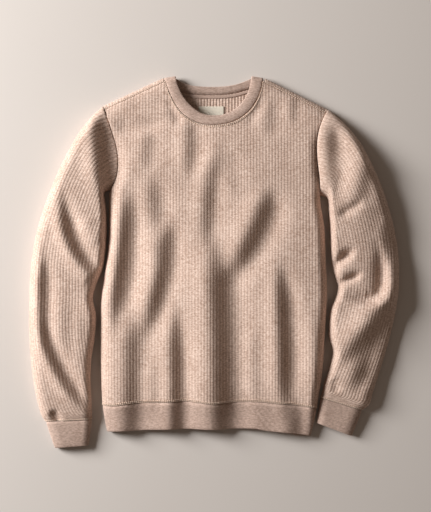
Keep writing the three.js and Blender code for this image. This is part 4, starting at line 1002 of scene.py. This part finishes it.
def make_cuff(name, rows, arm):
    """Cuff: whole fine ribs over its top, then back along its underside."""
    reader = tube_reader(rows)
    last = len(rows) - 1
    share = np.linspace(0.0, 1.0, 9)
    cut = tube_section(reader, 0.0, CUFF_R)
    _, run, under = tube_lengths(cut)
    over = int(round(run[-1] / FINE_RIB)) * FINE_COLUMNS
    below = int(round(under / FINE_RIB)) * FINE_COLUMNS
    outer = []
    for t in share:
        cut = tube_section(reader, t * last, mix(CUFF_R, CUFF_R - 0.6, t))
        _, run, under = tube_lengths(cut)
        c = np.concatenate([run[-1] * np.arange(over) / over, -under * (1 - np.arange(below) / below)])
        c[over] = run[-1]
        outer.append(tube_points(cut, c, []))
    return make_band(name, np.array(outer), share, 50.0, 0.08, FINE_START, arm["side"])


def along_curve(rows, share):
    """Points at shares of the length of a smooth curve through a table's x, y."""
    table = np.array(rows, float)
    run = np.concatenate([[0.0], np.cumsum(np.hypot(*np.diff(table, axis=0).T))])
    read_x, read_y = through(run, table[:, 0]), through(run, table[:, 1])
    return np.stack([read_x(share * run[-1]), read_y(share * run[-1])], axis=-1)


def collar_lines():
    """Seam and free edge of the neckband, in step: front, right neck point, back, left neck point."""
    share = np.linspace(0.012, 0.988, 45)
    seam_front = along_curve(NECK_FRONT, share)
    free_front = along_curve(FREE_FRONT, share)
    height = body_height(seam_front[:, 0], seam_front[:, 1] - GAP)
    rise = ease(share / 0.12) * ease((1 - share) / 0.12)
    seam = [np.column_stack([seam_front, height])]
    free = [np.column_stack([free_front, mix(18.5, 21.5, rise)])]

    def fold(arm, tip):
        x = arm["neck"][0] - arm["side"] * 0.9
        line = arm["neck"][1]
        top = [float(body_height(np.array(x), np.array(line - d))) for d in (3.2, 0.6)]
        seams = [(x, line - 3.2, top[0]), (x, line - 0.6, top[1]), (x, line - 1.2, FOLD_R * 0.5),
                 (x, line - FOLD_R * 0.55, FOLD_R * 0.12)]
        frees = [(tip, 360.5, 16.5), (tip, 362.6, 13.6), (tip, 362.6, 9.5), (tip, 361.4, 6)]
        return np.array(seams), np.array(frees)
    right_seam, right_free = fold(RIGHT_ARM, 73)
    left_seam, left_free = fold(LEFT_ARM, -75)
    share = np.linspace(0.0, 1.0, 31)
    seam_back = along_curve(NECK_BACK[::-1], share)
    free_back = along_curve(FREE_BACK, share)
    seam += [right_seam, np.column_stack([seam_back, np.zeros(31)]), left_seam[::-1]]
    free += [right_free, np.column_stack([free_back, np.full(31, 2.6)]), left_free[::-1]]
    return np.concatenate(seam), np.concatenate(free)


def closed_curve(points, run, at):
    """Smooth closed curve through points: cubic Hermite over the lengths run, repeated past both ends."""
    total = run[-1]
    wide = np.concatenate([run[-4:-1] - total, run[:-1], run[:4] + total])
    values = np.concatenate([points[-3:], points, points[:4]])
    return np.stack([through(wide, values[:, k])(at) for k in range(3)], axis=-1)


def make_collar():
    """Neckband between its seam and free edge; its front bulges by 7 * share * (1 - share)."""
    seam, free = collar_lines()
    gap = np.diff(np.concatenate([seam, seam[:1]]), axis=0)
    middle = np.diff(np.concatenate([(seam + free) / 2, (seam[:1] + free[:1]) / 2]), axis=0)
    lengths = np.maximum(np.linalg.norm(gap, axis=1), 0.3) * 0.5 + np.linalg.norm(middle, axis=1) * 0.5
    run = np.concatenate([[0.0], np.cumsum(lengths)])
    ribs = int(round(run[-1] / FINE_RIB))
    count = ribs * FINE_COLUMNS
    at = run[-1] * np.arange(count) / count
    low = closed_curve(seam, run, at)
    high = closed_curve(free, run, at)
    share = np.linspace(0.0, 1.0, 8)
    low = low + unit(high - low) * GAP
    front = ((low[:, 1] < 352) & (low[:, 2] > 10)).astype(float)
    bulge = 7.0 * share * (1 - share)
    outer = low[None] + (high - low)[None] * share[:, None, None]
    outer[..., 2] += bulge[:, None] * front[None]
    return make_band("neckband_knit", outer, share, 20.0, 0.12, FINE_START / 2, 1)


# Tape, label and rows of stitches
def make_strip(name, x, low, high, thick, material):
    """Soft flat strip between two edges: closed loop of a rounded section at each station."""
    angle = np.linspace(0.0, 2 * math.pi, 13)[:-1]
    across = np.sign(np.cos(angle)) * np.abs(np.cos(angle)) ** 0.5
    up = np.sign(np.sin(angle)) * np.abs(np.sin(angle)) ** 0.5
    centre, half = (low + high) / 2, (high - low) / 2
    y = centre[None] + half[None] * across[:, None]
    z = WALL + GAP + thick / 2 * (1 + up[:, None])
    grid = np.stack([np.broadcast_to(x, y.shape), y, np.broadcast_to(z, y.shape)], axis=-1)
    caps = [grid[:, 0].mean(0), grid[:, -1].mean(0)]
    grid = np.concatenate([np.broadcast_to(caps[0], (12, 1, 3)), grid,
                           np.broadcast_to(caps[1], (12, 1, 3))], axis=1)
    faces = grid_faces(12, grid.shape[1], wrap_rows=True)
    spots, _, joined, corners = weld(grid.reshape(-1, 3), faces)
    cloth = grid.reshape(-1, 3)[:, :2]
    return put_mesh(name, spots, joined[:, ::-1], cloth[corners[:, ::-1]], material)


def stitch_row(name, at, ahead, up, length, thick):
    """Row of short stitches: a six-sided spindle along each given direction, in one mesh."""
    share = np.array([0.0, 0.12, 0.5, 0.88, 1.0])
    size = np.array([0.0, 0.75, 1.0, 0.75, 0.0])
    angle = np.arange(6) * math.pi / 3
    side = np.cross(ahead, up)
    ring = (np.cos(angle)[:, None, None] * up + np.sin(angle)[:, None, None] * side)
    body = at[None, None] + (share - 0.5)[:, None, None, None] * ahead * length
    body = body + size[:, None, None, None] * ring[None] * thick / 2
    arch = np.sin(np.pi * share)[:, None, None, None] * up * thick * 0.2
    grid = np.moveaxis(body + arch, 2, 0)
    count = len(at)
    faces = grid_faces(5, 6, wrap_columns=True)
    ids = (faces[None] + np.arange(count)[:, None, None] * 30).reshape(-1, 3)
    points = grid.reshape(-1, 3)
    spots, _, joined, corners = weld(points, ids)
    return put_mesh(name, spots, joined, points[corners][..., :2], thread)


def line_inside(points, distance):
    """Points of a grid at a distance from its first row, measured down every column."""
    steps = np.linalg.norm(np.diff(points, axis=0), axis=-1)
    run = np.concatenate([np.zeros((1, steps.shape[1])), np.cumsum(steps, axis=0)])
    row = np.clip((run < distance).sum(axis=0), 1, len(run) - 1)
    column = np.arange(run.shape[1])
    step = np.maximum(run[row, column] - run[row - 1, column], 1e-9)
    share = np.clip((distance - run[row - 1, column]) / step, 0.0, 1.0)
    return mix(points[row - 1, column], points[row, column], share[:, None])


# Ends in x of a row of stitches: the whole line, or the neckline alone
EVERYWHERE = (-1000.0, 1000.0)
NECK_ONLY = (-92.0, 90.0)


def seam_stitches(name, points, distance, between):
    """Row of stitches on a grid at a distance from its first row, where x is between two values.

    They stand at even lengths of that line, each along it; what lies under the garment has none.
    """
    line, inner = line_inside(points, distance), line_inside(points, distance + 1.0)
    run = np.concatenate([[0.0], np.cumsum(np.linalg.norm(np.diff(line, axis=0), axis=-1))])
    spots = np.arange(STITCH_STEP / 2, run[-1], STITCH_STEP)

    def along(row, s):
        return np.stack([np.interp(s, run, row[:, n]) for n in range(3)], axis=-1)
    at = along(line, spots)
    ahead = unit(along(line, spots + 0.8) - along(line, spots - 0.8))
    up = unit(np.cross(ahead, along(inner, spots) - at))
    up *= np.sign(up[np.argmax(at[:, 2]), 2])
    shown = (at[:, 2] > STITCH_FLOOR) & (at[:, 0] > between[0]) & (at[:, 0] < between[1])
    return stitch_row(name, (at + up * STITCH_LIFT)[shown], ahead[shown], up[shown], STITCH, THREAD)


floor_mesh = bpy.data.meshes.new("floor")
floor_square = ((-1, -1), (1, -1), (1, 1), (-1, 1))
floor_corners = [(x * FLOOR_HALF, y * FLOOR_HALF, FLOOR_Z) for x, y in floor_square]
floor_mesh.from_pydata(floor_corners, [], [(0, 1, 2, 3)])
floor = bpy.data.objects.new("floor", floor_mesh)
scene.collection.objects.link(floor)
floor_mesh.materials.append(floor_finish())

front_grid, front = make_front()
back = make_back()
left_grid, sleeve_left = make_sleeve("sleeve_left_knit", LEFT_SLEEVE, LEFT_SLEEVE_FOLDS, LEFT_ARM)
right_grid, sleeve_right = make_sleeve("sleeve_right_knit", RIGHT_SLEEVE, RIGHT_SLEEVE_FOLDS, RIGHT_ARM)
hem = make_hem()
cuff_left = make_cuff("cuff_left_knit", LEFT_CUFF, LEFT_ARM)
cuff_right = make_cuff("cuff_right_knit", RIGHT_CUFF, RIGHT_ARM)
collar = make_collar()

tape_x = np.linspace(-82.0, 80.0, 61)
tape_high = neck_back_at(tape_x) - 0.9
tape = make_strip("neck_tape", tape_x, tape_high - TAPE_WIDTH, tape_high, TAPE_THICK, tape_weave)
label_x = np.linspace(-30.5, 19.5, 25)
label_low, label_high = np.full(25, LABEL_LOW), np.full(25, LABEL_HIGH)
label = make_strip("neck_label_plain", label_x, label_low, label_high, LABEL_THICK, label_weave)

for name, grid, distance, between in (
    ("hem_stitches_low", front_grid, NEAR_ROW, EVERYWHERE),
    ("hem_stitches_high", front_grid, FAR_ROW, EVERYWHERE),
    ("top_stitches_low", front_grid[::-1], NEAR_ROW, EVERYWHERE),
    ("neck_stitches_high", front_grid[::-1], FAR_ROW, NECK_ONLY),
    ("cuff_left_stitches_low", left_grid[::-1], NEAR_ROW, EVERYWHERE),
    ("cuff_left_stitches_high", left_grid[::-1], FAR_ROW, EVERYWHERE),
    ("cuff_right_stitches_low", right_grid[::-1], NEAR_ROW, EVERYWHERE),
    ("cuff_right_stitches_high", right_grid[::-1], FAR_ROW, EVERYWHERE),
):
    row = seam_stitches(name, grid, distance, between)
    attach(row, "root")

for piece, node, slot in (
    (front, "front_panel", "rib_knit"), (back, "back_panel", "rib_knit"),
    (sleeve_left, "sleeve_left", "rib_knit"), (sleeve_right, "sleeve_right", "rib_knit"),
    (hem, "hem_band", "band_knit"), (cuff_left, "cuff_left", "band_knit"),
    (cuff_right, "cuff_right", "band_knit"), (collar, "neckband", "band_knit"),
    (tape, "back_neck_tape", "tape"), (label, "neck_label", "label"),
):
    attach(piece, "root")
    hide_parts(node)


# Light and camera
def add_area(name, place, target, size, power, tint):
    """Square soft light at a place, turned to a target; metres and watts."""
    data = bpy.data.lights.new(name, "AREA")
    data.size = size
    data.energy = power
    data.color = tint
    lamp = bpy.data.objects.new(name, data)
    lamp.location = place
    lamp.rotation_euler = (Vector(target) - Vector(place)).to_track_quat("-Z", "Y").to_euler()
    scene.collection.objects.link(lamp)


add_area("key_light", (-2.99, 1.12, 1.56), (0.0, 0.0, 0.0), 1.5, 214.0, (1.0, 0.985, 0.97))
world = bpy.data.worlds.new("studio")
world.use_nodes = True
world.node_tree.nodes["Background"].inputs[0].default_value = (1.0, 0.80, 0.65, 1.0)
world.node_tree.nodes["Background"].inputs[1].default_value = 0.118
scene.world = world
scene.view_settings.view_transform = "Standard"

# Height of the camera over the level that its scale holds for, the height of the view, and the sensor's
CAMERA_HEIGHT = 3.0
SCALE_LEVEL = 0.02
VIEW_HEIGHT = 0.998
SENSOR = 24.0
camera_data = bpy.data.cameras.new("camera")
camera_data.sensor_fit = "VERTICAL"
camera_data.sensor_height = SENSOR
camera_data.lens = SENSOR * CAMERA_HEIGHT / VIEW_HEIGHT
camera = bpy.data.objects.new("camera", camera_data)
camera.location = (0.0027, 0.0117, CAMERA_HEIGHT + SCALE_LEVEL)
scene.collection.objects.link(camera)
scene.camera = camera
